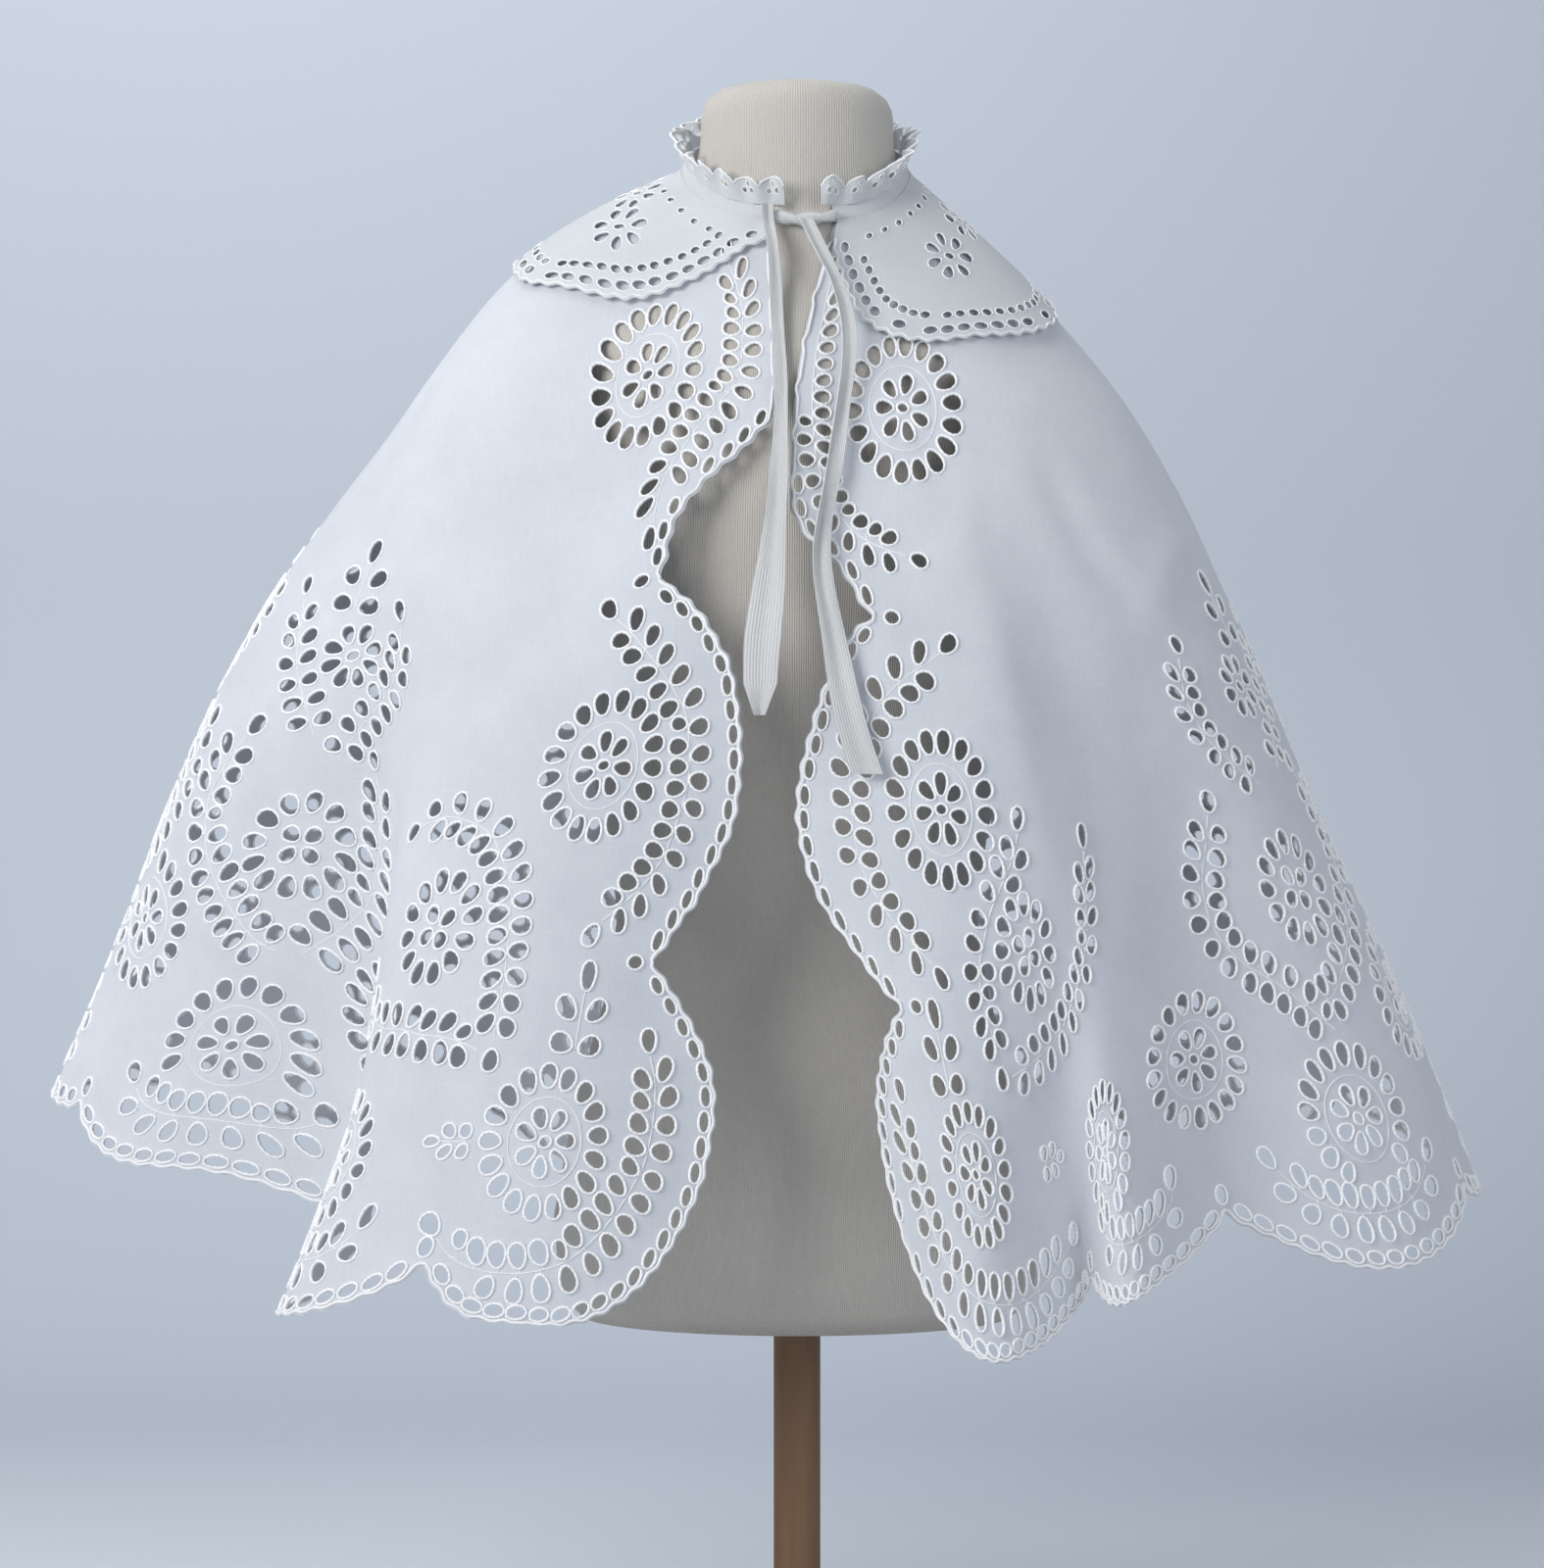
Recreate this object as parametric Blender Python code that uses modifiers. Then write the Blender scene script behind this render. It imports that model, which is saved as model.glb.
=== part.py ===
"""A half-circle eyelet cape, tied at the throat, on a limbless dress form with a plain stand.

Metres, +Z up. The garment's front faces -Y and the stand's underside is at Z = 0.
Left and right are the viewer's, looking along +Y.
"""

from typing import NamedTuple

import bmesh
import bpy
import numpy as np
from mathutils import Vector

# Cloth
CAPE_WALL = 0.0012
COLLAR_WALL = 0.0012
BAND_WALL = 0.0012
FRILL_WALL = 0.0014
TAPE_WALL = 0.0011
SEAM_GAP = 0.0003
CENTRE_SEAM_HALF = 0.00024

# Cape, as cut: a half circle with a round neck, its hem measured off in steps
HEM_STEP = 0.145
STEPS_PER_HALF = 7.5
NECK_RADIUS = 0.125
HEM_RADIUS = 0.730
HALF_HEM = HEM_STEP * STEPS_PER_HALF
HALF_ANGLE = HALF_HEM / HEM_RADIUS
LENGTH_FRONT = 0.584
LENGTH_SIDE = 0.612
LENGTH_BACK = 0.615
HEM_SCALLOP_DEPTH = 0.024

# Cape, as worn: heights of the neck seam
NECK_Z_FRONT = 0.772
NECK_Z_SIDE = 0.808
NECK_Z_BACK = 0.828

# Grids
DRAPE_COLUMNS = 361
DRAPE_ROWS = 121
SHOULDER_LEVELS = (0.0, 0.02, 0.045, 0.075, 0.11, 0.15)
ROWS_PER_FRONT_RUN = (4, 6, 5)
COLUMNS_PER_HEM_RUN = (9, 6, 8, 7, 6, 6, 3)
CAPE_COLUMNS = sum(COLUMNS_PER_HEM_RUN)

# Collar
COLLAR_START = 0.006
COLLAR_SEAT_LIFT = 0.0016
COLLAR_EDGE_LIFT = 0.0065
COLLAR_COLUMNS = 23
COLLAR_ROWS = 4

# Neck band, frill and knot
BAND_HEIGHT = 0.009
BAND_LEAN = 0.003
FRILL_HEIGHT = 0.013
FRILL_FLARE = 0.005
BAND_COLUMNS = 45
KNOT_HALF_WIDTH = 0.0028
KNOT_HALF_HEIGHT = 0.0032
KNOT_DIP = 0.0035
KNOT_BOW = 0.0027
KNOT_SEAT = 0.0026
KNOT_OVERLAP = 0.0015

# Form and stand
FORM_CLEARANCE = 0.0006
FORM_GAP_COLUMNS = 4
NECK_FILLET = (0.06, 0.15, 0.30, 0.55)
NECK_FILLET_POWER = 4.0
POLE_RADIUS = 0.0125
BASE_RADIUS = 0.135
BASE_EDGE_HEIGHT = 0.016
BASE_HEIGHT = 0.024
HUB_RADIUS = 0.032
HUB_HEIGHT = 0.040


class Ring(NamedTuple):
    """One upper section of the cape: an ellipse, open at the front."""

    level: float
    left: float
    right: float
    front: float
    back: float
    gap_left: float
    gap_right: float


class Fold(NamedTuple):
    """One crest or trough: where it lies in plan at three levels."""

    name: str
    steps: float
    waist_x: float
    waist_y: float
    low_x: float
    low_y: float
    hem_x: float
    hem_y: float
    longer: float


class Cut(NamedTuple):
    """The scalloped outline of one half, in millimetres on the flat cloth.

    Each point is its distance from the front edge's line, then its radius from the neck's
    centre. Runs end at notches, and the last one turns the corner into the hem.
    """

    upper: tuple[tuple[float, float], ...]
    middle: tuple[tuple[float, float], ...]
    lower: tuple[tuple[float, float], ...]
    corner: tuple[tuple[float, float], ...]
    hem_notches: tuple[float, ...]


class Reach(NamedTuple):
    """How far down the cape the collar's edge lies at one place round the neck."""

    share: float
    level: float


class Section(NamedTuple):
    """One level section of the form below the cape's shoulders."""

    z: float
    left: float
    right: float
    front: float
    back: float


class TapeSection(NamedTuple):
    """One section across a tape: its middle, width and turn about the vertical."""

    x: float
    y: float
    z: float
    width: float
    turn: float


UPPER_RINGS = (
    Ring(0.00, 0.062, 0.060, 0.056, 0.056, -0.0147, 0.0190),
    Ring(0.15, 0.143, 0.128, 0.088, 0.092, -0.0115, 0.0000),
    Ring(0.31, 0.207, 0.191, 0.125, 0.137, -0.0125, -0.0045),
)
WAIST_LEVEL, LOW_LEVEL, HEM_LEVEL = 0.62, 0.82, 1.00

LEFT_FOLDS = (
    Fold("edge", 0.0, -0.031, -0.146, -0.040, -0.158, -0.043, -0.166, 0.000),
    Fold("panel", 1.0, -0.135, -0.160, -0.162, -0.176, -0.183, -0.187, 0.008),
    Fold("turn", 1.7, -0.200, -0.128, -0.220, -0.128, -0.256, -0.128, 0.025),
    Fold("valley", 2.0, -0.203, -0.102, -0.206, -0.096, -0.226, -0.088, 0.008),
    Fold("wing face", 2.5, -0.228, -0.080, -0.260, -0.064, -0.288, -0.050, -0.012),
    Fold("wing", 3.1, -0.288, -0.046, -0.333, -0.028, -0.374, -0.014, 0.018),
    Fold("crest", 3.7, -0.314, 0.008, -0.363, 0.032, -0.408, 0.054, 0.014),
    Fold("rear", 4.4, -0.288, 0.080, -0.320, 0.106, -0.346, 0.128, 0.006),
    Fold("back valley", 5.1, -0.238, 0.116, -0.246, 0.136, -0.252, 0.150, 0.000),
    Fold("back crest", 5.8, -0.172, 0.155, -0.174, 0.196, -0.176, 0.232, 0.000),
    Fold("inner valley", 6.5, -0.101, 0.164, -0.098, 0.182, -0.095, 0.196, 0.000),
)
CENTRE_BACK = Fold("centre back", 7.5, -0.016, 0.200, -0.014, 0.222, -0.012, 0.242, 0.000)
RIGHT_FOLDS = (
    Fold("edge", 0.0, 0.002, -0.140, 0.034, -0.138, 0.044, -0.136, 0.010),
    Fold("panel", 0.6, 0.064, -0.160, 0.086, -0.172, 0.102, -0.184, 0.020),
    Fold("turn", 1.1, 0.117, -0.142, 0.133, -0.138, 0.148, -0.134, 0.008),
    Fold("pleat", 1.45, 0.146, -0.122, 0.153, -0.138, 0.162, -0.160, 0.000),
    Fold("valley", 2.0, 0.192, -0.082, 0.206, -0.086, 0.220, -0.092, -0.006),
    Fold("wing face", 2.5, 0.234, -0.058, 0.260, -0.066, 0.286, -0.076, 0.020),
    Fold("wing", 3.1, 0.268, -0.018, 0.314, -0.024, 0.350, -0.030, 0.038),
    Fold("crest", 3.7, 0.276, 0.042, 0.330, 0.046, 0.374, 0.050, 0.034),
    Fold("rear", 4.4, 0.252, 0.106, 0.294, 0.122, 0.328, 0.132, 0.010),
    Fold("back valley", 5.1, 0.208, 0.148, 0.226, 0.150, 0.240, 0.148, 0.002),
    Fold("back crest", 5.8, 0.142, 0.178, 0.154, 0.208, 0.166, 0.236, 0.000),
    Fold("inner valley", 6.5, 0.070, 0.180, 0.076, 0.188, 0.082, 0.194, 0.000),
)

LEFT_CUT = Cut(
    upper=((0, 125), (0, 225), (1.5, 243), (6, 250), (17, 266), (30, 282), (41, 300), (46, 314),
           (48, 330), (50, 341)),
    middle=((50, 341), (43, 347.5), (35.5, 353.5), (28, 362), (21.5, 373), (15.5, 383), (12, 394),
            (9, 407), (6.5, 421), (5, 434), (4.3, 450), (5.5, 467), (9.5, 481), (15, 495), (20, 509),
            (26, 518.5), (32, 531), (38.5, 542.5)),
    lower=((38.5, 542.5), (29, 554), (20, 566), (13, 577), (8, 587), (4.5, 596), (2.5, 608), (2.5, 618)),
    corner=((2.5, 618), (4, 632), (6.5, 647), (10, 657.5), (15, 669), (22, 682), (31, 695), (42, 707.5),
            (56, 718.5), (70, 726), (84, 730), (98, 731), (110, 730.5), (120, 729.5), (128, 727),
            (134, 722), (139, 714), (142, 707), (145, 702)),
    hem_notches=(1.040, 2.08, 3.3, 4.5, 5.7, 6.9),
)
RIGHT_CUT = Cut(
    upper=((0, 125), (0, 285), (1, 297), (7, 310), (20, 323), (28, 335), (34, 347), (38, 352.5)),
    middle=((38, 352.5), (30, 359), (25, 367), (21, 377), (17.5, 388), (14, 400), (11, 413), (7.5, 428),
            (4.5, 444), (3, 457), (3.5, 470), (5, 484), (8, 497), (13, 509), (20, 521), (27, 533),
            (34, 543), (41, 550)),
    lower=((41, 550), (30, 566), (20, 585), (13.5, 602), (10, 622), (9.5, 632)),
    corner=((9.5, 632), (10, 643), (14, 660), (22, 679.5), (34, 699), (50, 714), (66, 722.5),
            (80, 725.5), (98, 724.5), (116, 722), (132, 718.5), (147, 713.5), (160, 706)),
    hem_notches=(1.141, 2.01, 3.3, 4.5, 5.7, 6.9),
)

LEFT_COLLAR = (
    Reach(-0.990, 0.020), Reach(-0.930, 0.030), Reach(-0.840, 0.068), Reach(-0.740, 0.118),
    Reach(-0.640, 0.154), Reach(-0.560, 0.162), Reach(-0.480, 0.158), Reach(-0.300, 0.156),
    Reach(0.0, 0.160),
)
RIGHT_COLLAR = (
    Reach(0.990, 0.020), Reach(0.960, 0.046), Reach(0.890, 0.106), Reach(0.800, 0.144),
    Reach(0.690, 0.162), Reach(0.580, 0.172), Reach(0.480, 0.164), Reach(0.300, 0.160),
    Reach(0.0, 0.160),
)

FORM_NECK = (
    Section(0.8530, 0.0280, 0.0280, 0.0270, 0.0270),
    Section(0.8505, 0.0420, 0.0420, 0.0400, 0.0400),
    Section(0.8440, 0.0495, 0.0495, 0.0470, 0.0470),
    Section(0.8380, 0.0515, 0.0515, 0.0488, 0.0488),
)
FORM_BODY = (
    Section(0.672, 0.1500, 0.1440, 0.0930, 0.1000),
    Section(0.630, 0.1440, 0.1400, 0.1020, 0.1040),
    Section(0.580, 0.1340, 0.1320, 0.1060, 0.1000),
    Section(0.520, 0.1200, 0.1190, 0.0990, 0.0910),
    Section(0.455, 0.1020, 0.1020, 0.0840, 0.0810),
    Section(0.410, 0.0960, 0.0960, 0.0790, 0.0770),
    Section(0.365, 0.1030, 0.1030, 0.0830, 0.0840),
    Section(0.310, 0.1190, 0.1190, 0.0900, 0.0990),
    Section(0.250, 0.1300, 0.1300, 0.0940, 0.1080),
    Section(0.208, 0.1270, 0.1270, 0.0910, 0.1060),
    Section(0.196, 0.1150, 0.1150, 0.0800, 0.0940),
)

LEFT_TAPE = (
    TapeSection(-0.0157, -0.0610, 0.7815, 0.0070, -4.0),
    TapeSection(-0.0155, -0.0610, 0.7755, 0.0070, -4.0),
    TapeSection(-0.0135, -0.0680, 0.7640, 0.0080, -12.0),
    TapeSection(-0.0110, -0.0745, 0.7344, 0.0110, -20.0),
    TapeSection(-0.0085, -0.1040, 0.6687, 0.0125, -24.0),
    TapeSection(-0.0110, -0.1255, 0.6200, 0.0140, -18.0),
    TapeSection(-0.0150, -0.1380, 0.5778, 0.0185, -10.0),
    TapeSection(-0.0180, -0.1435, 0.5532, 0.0200, -6.0),
    TapeSection(-0.0192, -0.1455, 0.5300, 0.0180, -4.0),
    TapeSection(-0.0195, -0.1465, 0.5142, 0.0060, -4.0),
)
RIGHT_TAPE = (
    TapeSection(0.0040, -0.0629, 0.7735, 0.0080, 6.0),
    TapeSection(0.0120, -0.0720, 0.7560, 0.0100, 14.0),
    TapeSection(0.0212, -0.0820, 0.7344, 0.0120, 18.0),
    TapeSection(0.0258, -0.0885, 0.7119, 0.0125, 20.0),
    TapeSection(0.0225, -0.1020, 0.6740, 0.0130, 24.0),
    TapeSection(0.0174, -0.1180, 0.6379, 0.0130, 24.0),
    TapeSection(0.0113, -0.1330, 0.5974, 0.0125, 18.0),
    TapeSection(0.0171, -0.1445, 0.5531, 0.0140, 10.0),
    TapeSection(0.0258, -0.1535, 0.5092, 0.0165, 8.0),
    TapeSection(0.0335, -0.1580, 0.4849, 0.0165, 6.0),
)

# name: colour, roughness, metallic
FINISHES = {
    "white_cotton": ((0.80, 0.81, 0.83), 0.90, 0.0),
    "cotton_tape": ((0.80, 0.79, 0.73), 0.88, 0.0),
    "form_linen": ((0.50, 0.47, 0.42), 0.92, 0.0),
    "stand_wood": ((0.23, 0.13, 0.07), 0.45, 0.0),
}


def spline(at: np.ndarray, known: np.ndarray, values: np.ndarray) -> np.ndarray:
    """Natural cubic spline through values at the known places."""
    count = len(known)
    gaps = np.diff(known)
    system = np.eye(count)
    right = np.zeros_like(values)
    for i in range(1, count - 1):
        system[i, i - 1:i + 2] = gaps[i - 1], 2 * (gaps[i - 1] + gaps[i]), gaps[i]
        rise_after = (values[i + 1] - values[i]) / gaps[i]
        rise_before = (values[i] - values[i - 1]) / gaps[i - 1]
        right[i] = 6 * (rise_after - rise_before)
    bend = np.linalg.solve(system, right.reshape(count, -1)).reshape(values.shape)
    span = np.clip(np.searchsorted(known, at) - 1, 0, count - 2)
    shape = (-1,) + (1,) * (values.ndim - 1)
    t = (at - known[span]).reshape(shape)
    gap = gaps[span].reshape(shape)
    slope = (values[span + 1] - values[span]) / gap - gap * (2 * bend[span] + bend[span + 1]) / 6
    return values[span] + t * (slope + t * (bend[span] / 2 + t * (bend[span + 1] - bend[span]) / (6 * gap)))


class Drape:
    """The worn cape's middle surface.

    A place on it is (w, v): w runs from -1 at the left front edge through 0 at the centre
    back to 1 at the right front edge, and v from 0 at the neck seam to 1 at the hem.
    """

    def __init__(self) -> None:
        self.w = np.linspace(-1, 1, DRAPE_COLUMNS)
        self.v = np.linspace(0, 1, DRAPE_ROWS)
        self.plan = self.plan_rings()
        self.points = self.hang()
        self.normals = self.face_outward()

    def upper_ring(self, ring: Ring) -> np.ndarray:
        """Points of an upper ring, evenly spaced along each half."""
        start = -np.pi + np.arcsin(-ring.gap_left / ring.left)
        stop = np.pi - np.arcsin(ring.gap_right / ring.right)
        turn = np.concatenate([np.linspace(start, 0, 1000), np.linspace(0, stop, 1000)[1:]])
        x = np.sin(turn) * np.where(turn < 0, ring.left, ring.right)
        y = np.cos(turn) * np.where(np.cos(turn) > 0, ring.back, ring.front)
        length = np.concatenate([[0], np.cumsum(np.hypot(np.diff(x), np.diff(y)))])
        middle = length[999]
        along = np.where(self.w < 0, middle * (1 + self.w), middle + (length[-1] - middle) * self.w)
        return np.stack([np.interp(along, length, x), np.interp(along, length, y)], axis=1)

    def fold_rows(self) -> tuple[np.ndarray, np.ndarray]:
        """Places of the folds in w, and their rows."""
        left = [(-1 + fold.steps / STEPS_PER_HALF, fold) for fold in LEFT_FOLDS]
        right = [(1 - fold.steps / STEPS_PER_HALF, fold) for fold in RIGHT_FOLDS]
        rows = left + [(0.0, CENTRE_BACK)] + right[::-1]
        return np.array([w for w, _ in rows]), np.array([fold[2:] for _, fold in rows])

    def plan_rings(self) -> np.ndarray:
        """Plan positions of every row and column."""
        places, rows = self.fold_rows()
        folds = spline(self.w, places, rows)
        self.longer = folds[:, 6]
        levels = [ring.level for ring in UPPER_RINGS] + [WAIST_LEVEL, LOW_LEVEL, HEM_LEVEL]
        rings = [self.upper_ring(ring) for ring in UPPER_RINGS]
        rings += [folds[:, 0:2], folds[:, 2:4], folds[:, 4:6]]
        return spline(self.v, np.array(levels), np.stack(rings))

    def hang(self) -> np.ndarray:
        """Give each column its heights: it falls by what its length leaves over."""
        facing = np.cos(np.pi * self.w)
        toward_front = np.maximum(-facing, 0)
        toward_back = np.maximum(facing, 0)
        length = (LENGTH_SIDE + (LENGTH_FRONT - LENGTH_SIDE) * toward_front ** 2
                  + (LENGTH_BACK - LENGTH_SIDE) * toward_back ** 2 + self.longer)
        neck = (NECK_Z_SIDE + (NECK_Z_FRONT - NECK_Z_SIDE) * toward_front ** 1.3
                + (NECK_Z_BACK - NECK_Z_SIDE) * toward_back)
        step = length / (DRAPE_ROWS - 1)
        run = np.linalg.norm(np.diff(self.plan, axis=0), axis=2)
        fall = np.sqrt(np.maximum(step ** 2 - run ** 2, (0.15 * step) ** 2))
        z = neck - np.concatenate([np.zeros((1, DRAPE_COLUMNS)), np.cumsum(fall, axis=0)])
        return np.concatenate([self.plan, z[..., None]], axis=2)

    def face_outward(self) -> np.ndarray:
        """Unit normals that point away from the wearer."""
        down = np.gradient(self.points, axis=0)
        round_neck = np.gradient(self.points, axis=1)
        normal = np.cross(round_neck, down)
        return normal / np.linalg.norm(normal, axis=2, keepdims=True)

    def sample(self, grid: np.ndarray, w: float, v: float) -> np.ndarray:
        """Value of a grid at (w, v), between its four nearest points."""
        column = np.clip((w + 1) / 2, 0, 1) * (DRAPE_COLUMNS - 1)
        row = np.clip(v, 0, 1) * (DRAPE_ROWS - 1)
        i, j = min(int(row), DRAPE_ROWS - 2), min(int(column), DRAPE_COLUMNS - 2)
        s, t = row - i, column - j
        upper = grid[i, j] * (1 - t) + grid[i, j + 1] * t
        lower = grid[i + 1, j] * (1 - t) + grid[i + 1, j + 1] * t
        return upper * (1 - s) + lower * s

    def place(self, w: float, v: float, lift: float = 0.0) -> np.ndarray:
        """The point at (w, v), moved out along the normal by lift."""
        point = self.sample(self.points, w, v)
        if lift == 0.0:
            return point
        normal = self.sample(self.normals, w, v)
        return point + normal / np.linalg.norm(normal) * lift


class Outline:
    """The cut edge of one half, with half places from 0 at the front edge's line to 1 at the centre back."""

    def __init__(self, side: int) -> None:
        cut = LEFT_CUT if side < 0 else RIGHT_CUT
        front = np.array(cut.upper + cut.middle[1:] + cut.lower[1:]) / 1000
        corner = np.array(cut.corner) / 1000
        self.front_radii = front[:, 1]
        self.front_places = front[:, 0] / (HALF_ANGLE * front[:, 1])
        self.corner_radii = corner[:, 1]
        self.corner_places = corner[:, 0] / (HALF_ANGLE * corner[:, 1])
        self.notches = [notch / STEPS_PER_HALF for notch in cut.hem_notches]
        self.notch_radii = (cut.middle[0][1] / 1000, cut.lower[0][1] / 1000)

    def front_place(self, radius: float) -> float:
        """Half place of the front edge at a radius."""
        return float(np.interp(radius, self.front_radii, self.front_places))

    def hem_radius(self, place: float) -> float:
        """Radius of the hem at a half place."""
        if place <= self.notches[0]:
            return float(np.interp(place, self.corner_places, self.corner_radii))
        ends = self.notches + [2 - self.notches[-1]]
        run = next(i for i in range(len(ends) - 1) if place <= ends[i + 1] + 1e-9)
        share = (place - ends[run]) / (ends[run + 1] - ends[run])
        depth = HEM_RADIUS - self.corner_radii[-1] if run == 0 and share < 0.5 else HEM_SCALLOP_DEPTH
        return HEM_RADIUS - depth * (1 - abs(np.sin(np.pi * share)) ** 0.62)

    def hem_places(self) -> list[float]:
        """Half places of the grid's columns where they meet the hem."""
        ends = [self.corner_places[0]] + self.notches + [1.0]
        places = [ends[0]]
        for run, count in enumerate(COLUMNS_PER_HEM_RUN):
            for k in range(1, count + 1):
                share = k / count
                if run == 0:
                    share = 0.5 * share + 0.5 * share ** 2
                places.append(ends[run] + (ends[run + 1] - ends[run]) * share)
        return places

    def column_shares(self) -> list[float]:
        """Shares of the way from the front edge to the centre back, one for each column."""
        places = self.hem_places()
        return [(place - places[0]) / (1 - places[0]) for place in places]

    def falls(self) -> list[float]:
        """Shares of the fall below the shoulders, so that rows meet the front edge's notches."""
        top = NECK_RADIUS + (HEM_RADIUS - NECK_RADIUS) * SHOULDER_LEVELS[-1]
        ends = [0.0] + [(radius - top) / (self.corner_radii[0] - top) for radius in self.notch_radii] + [1.0]
        shares = []
        for run, count in enumerate(ROWS_PER_FRONT_RUN):
            shares += [ends[run] + (ends[run + 1] - ends[run]) * k / count for k in range(1, count + 1)]
        return shares

    def radii(self, hem: float) -> list[float]:
        """Radii of the grid's rows down a column that meets the hem at a radius."""
        length = HEM_RADIUS - NECK_RADIUS
        shoulder = [NECK_RADIUS + length * level for level in SHOULDER_LEVELS]
        return shoulder + [shoulder[-1] + (hem - shoulder[-1]) * fall for fall in self.falls()]


def new_object(name: str, mesh: bpy.types.Mesh, finish: str, group: bpy.types.Collection) -> bpy.types.Object:
    """Put a mesh in the scene as a named object with its material."""
    piece = bpy.data.objects.new(name, mesh)
    mesh.materials.append(bpy.data.materials[finish])
    group.objects.link(piece)
    return piece


def loft(name: str, rows: list[list[np.ndarray]], closed: bool, capped: bool) -> bpy.types.Mesh:
    """A mesh through rows of points: a sheet, or a tube with its ends closed."""
    shape = bmesh.new()
    rings = [[shape.verts.new(Vector(point)) for point in row] for row in rows]
    columns = len(rows[0])
    for upper, lower in zip(rings, rings[1:]):
        for k in range(columns if closed else columns - 1):
            n = (k + 1) % columns
            shape.faces.new((upper[k], lower[k], lower[n], upper[n]))
    if capped:
        shape.faces.new(rings[0])
        shape.faces.new(rings[-1][::-1])
    bmesh.ops.recalc_face_normals(shape, faces=shape.faces)
    mesh = bpy.data.meshes.new(name)
    shape.to_mesh(mesh)
    shape.free()
    return mesh


def wall(name: str, outside: list[list[np.ndarray]], inside: list[list[np.ndarray]]) -> bpy.types.Mesh:
    """A closed wall between two sheets that have the same rows and columns."""
    rows = [outer + inner[::-1] for outer, inner in zip(outside, inside)]
    shape = bmesh.new()
    rings = [[shape.verts.new(Vector(point)) for point in row] for row in rows]
    total = len(rows[0])
    for upper, lower in zip(rings, rings[1:]):
        for k in range(total):
            n = (k + 1) % total
            shape.faces.new((upper[k], lower[k], lower[n], upper[n]))
    for ring in (rings[0], rings[-1]):
        for k in range(total // 2 - 1):
            shape.faces.new((ring[k], ring[k + 1], ring[total - 2 - k], ring[total - 1 - k]))
    bmesh.ops.recalc_face_normals(shape, faces=shape.faces)
    mesh = bpy.data.meshes.new(name)
    shape.to_mesh(mesh)
    shape.free()
    return mesh


def make_cape_half(drape: Drape, side: int, group: bpy.types.Collection) -> None:
    """One half of the cape, from its front edge (side -1 or 1) to the centre back."""
    name = "cape_left" if side < 0 else "cape_right"
    outline = Outline(side)
    length = HEM_RADIUS - NECK_RADIUS
    columns = []
    for place, share in zip(outline.hem_places(), outline.column_shares()):
        column = []
        for radius in outline.radii(outline.hem_radius(place)):
            start = outline.front_place(radius)
            half_place = start + (1 - start) * share
            half_place = min(half_place, 1 - CENTRE_SEAM_HALF / (HALF_ANGLE * radius))
            column.append((side * (1 - half_place), (radius - NECK_RADIUS) / length))
        columns.append(column)
    outside = [[drape.place(w, v, CAPE_WALL / 2) for w, v in row] for row in zip(*columns)]
    inside = [[drape.place(w, v, -CAPE_WALL / 2) for w, v in row] for row in zip(*columns)]
    new_object(name, wall(name, outside, inside), "white_cotton", group)


def make_collar_half(drape: Drape, side: int, group: bpy.types.Collection) -> None:
    """One half of the collar, lifted off the cape more and more toward its edge."""
    name = "collar_left" if side < 0 else "collar_right"
    table = LEFT_COLLAR if side < 0 else RIGHT_COLLAR
    shares = [abs(reach.share) for reach in table][::-1]
    levels = [reach.level for reach in table][::-1]
    outside, inside = [], []
    for j in range(COLLAR_ROWS + 1):
        down = j / COLLAR_ROWS
        lift = COLLAR_SEAT_LIFT + (COLLAR_EDGE_LIFT - COLLAR_SEAT_LIFT) * down ** 0.8
        outer, inner = [], []
        for k in range(COLLAR_COLUMNS + 1):
            share = 0.99 - (0.99 - 0.0012) * k / COLLAR_COLUMNS
            edge = float(np.interp(share, shares, levels))
            v = COLLAR_START + (edge - COLLAR_START) * down
            outer.append(drape.place(side * share, v, lift + COLLAR_WALL / 2))
            inner.append(drape.place(side * share, v, lift - COLLAR_WALL / 2))
        outside.append(outer)
        inside.append(inner)
    new_object(name, wall(name, outside, inside), "white_cotton", group)


def outward(point: np.ndarray) -> np.ndarray:
    """Level unit direction from the neck's axis through a point."""
    flat = np.array([point[0], point[1], 0.0])
    return flat / np.linalg.norm(flat)


def ring_wall(name: str, drape: Drape, foot: float, lean: float, height: float, top_lean: float,
              thick: float, group: bpy.types.Collection) -> None:
    """A wall that stands on the neck seam, from foot up by height, leaning in or out."""
    outside, inside = [], []
    for share in (0.0, 1.0):
        outer, inner = [], []
        for k in range(BAND_COLUMNS + 1):
            seam = drape.place(-1 + 2 * k / BAND_COLUMNS, 0.0)
            out = outward(seam)
            middle = seam + out * (lean + (top_lean - lean) * share) + np.array([0, 0, foot + height * share])
            outer.append(middle + out * thick / 2)
            inner.append(middle - out * thick / 2)
        outside.append(outer)
        inside.append(inner)
    new_object(name, wall(name, outside, inside), "white_cotton", group)


def make_neck(drape: Drape, group: bpy.types.Collection) -> None:
    """The neck band and the frill that stands on it."""
    foot = CAPE_WALL / 2 + 2 * SEAM_GAP
    ring_wall("neck_band", drape, foot, 0.0, BAND_HEIGHT, -BAND_LEAN, BAND_WALL, group)
    frill_foot = foot + BAND_HEIGHT + SEAM_GAP
    ring_wall("neck_frill", drape, frill_foot, -BAND_LEAN, FRILL_HEIGHT, -BAND_LEAN + FRILL_FLARE,
              FRILL_WALL, group)


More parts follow.
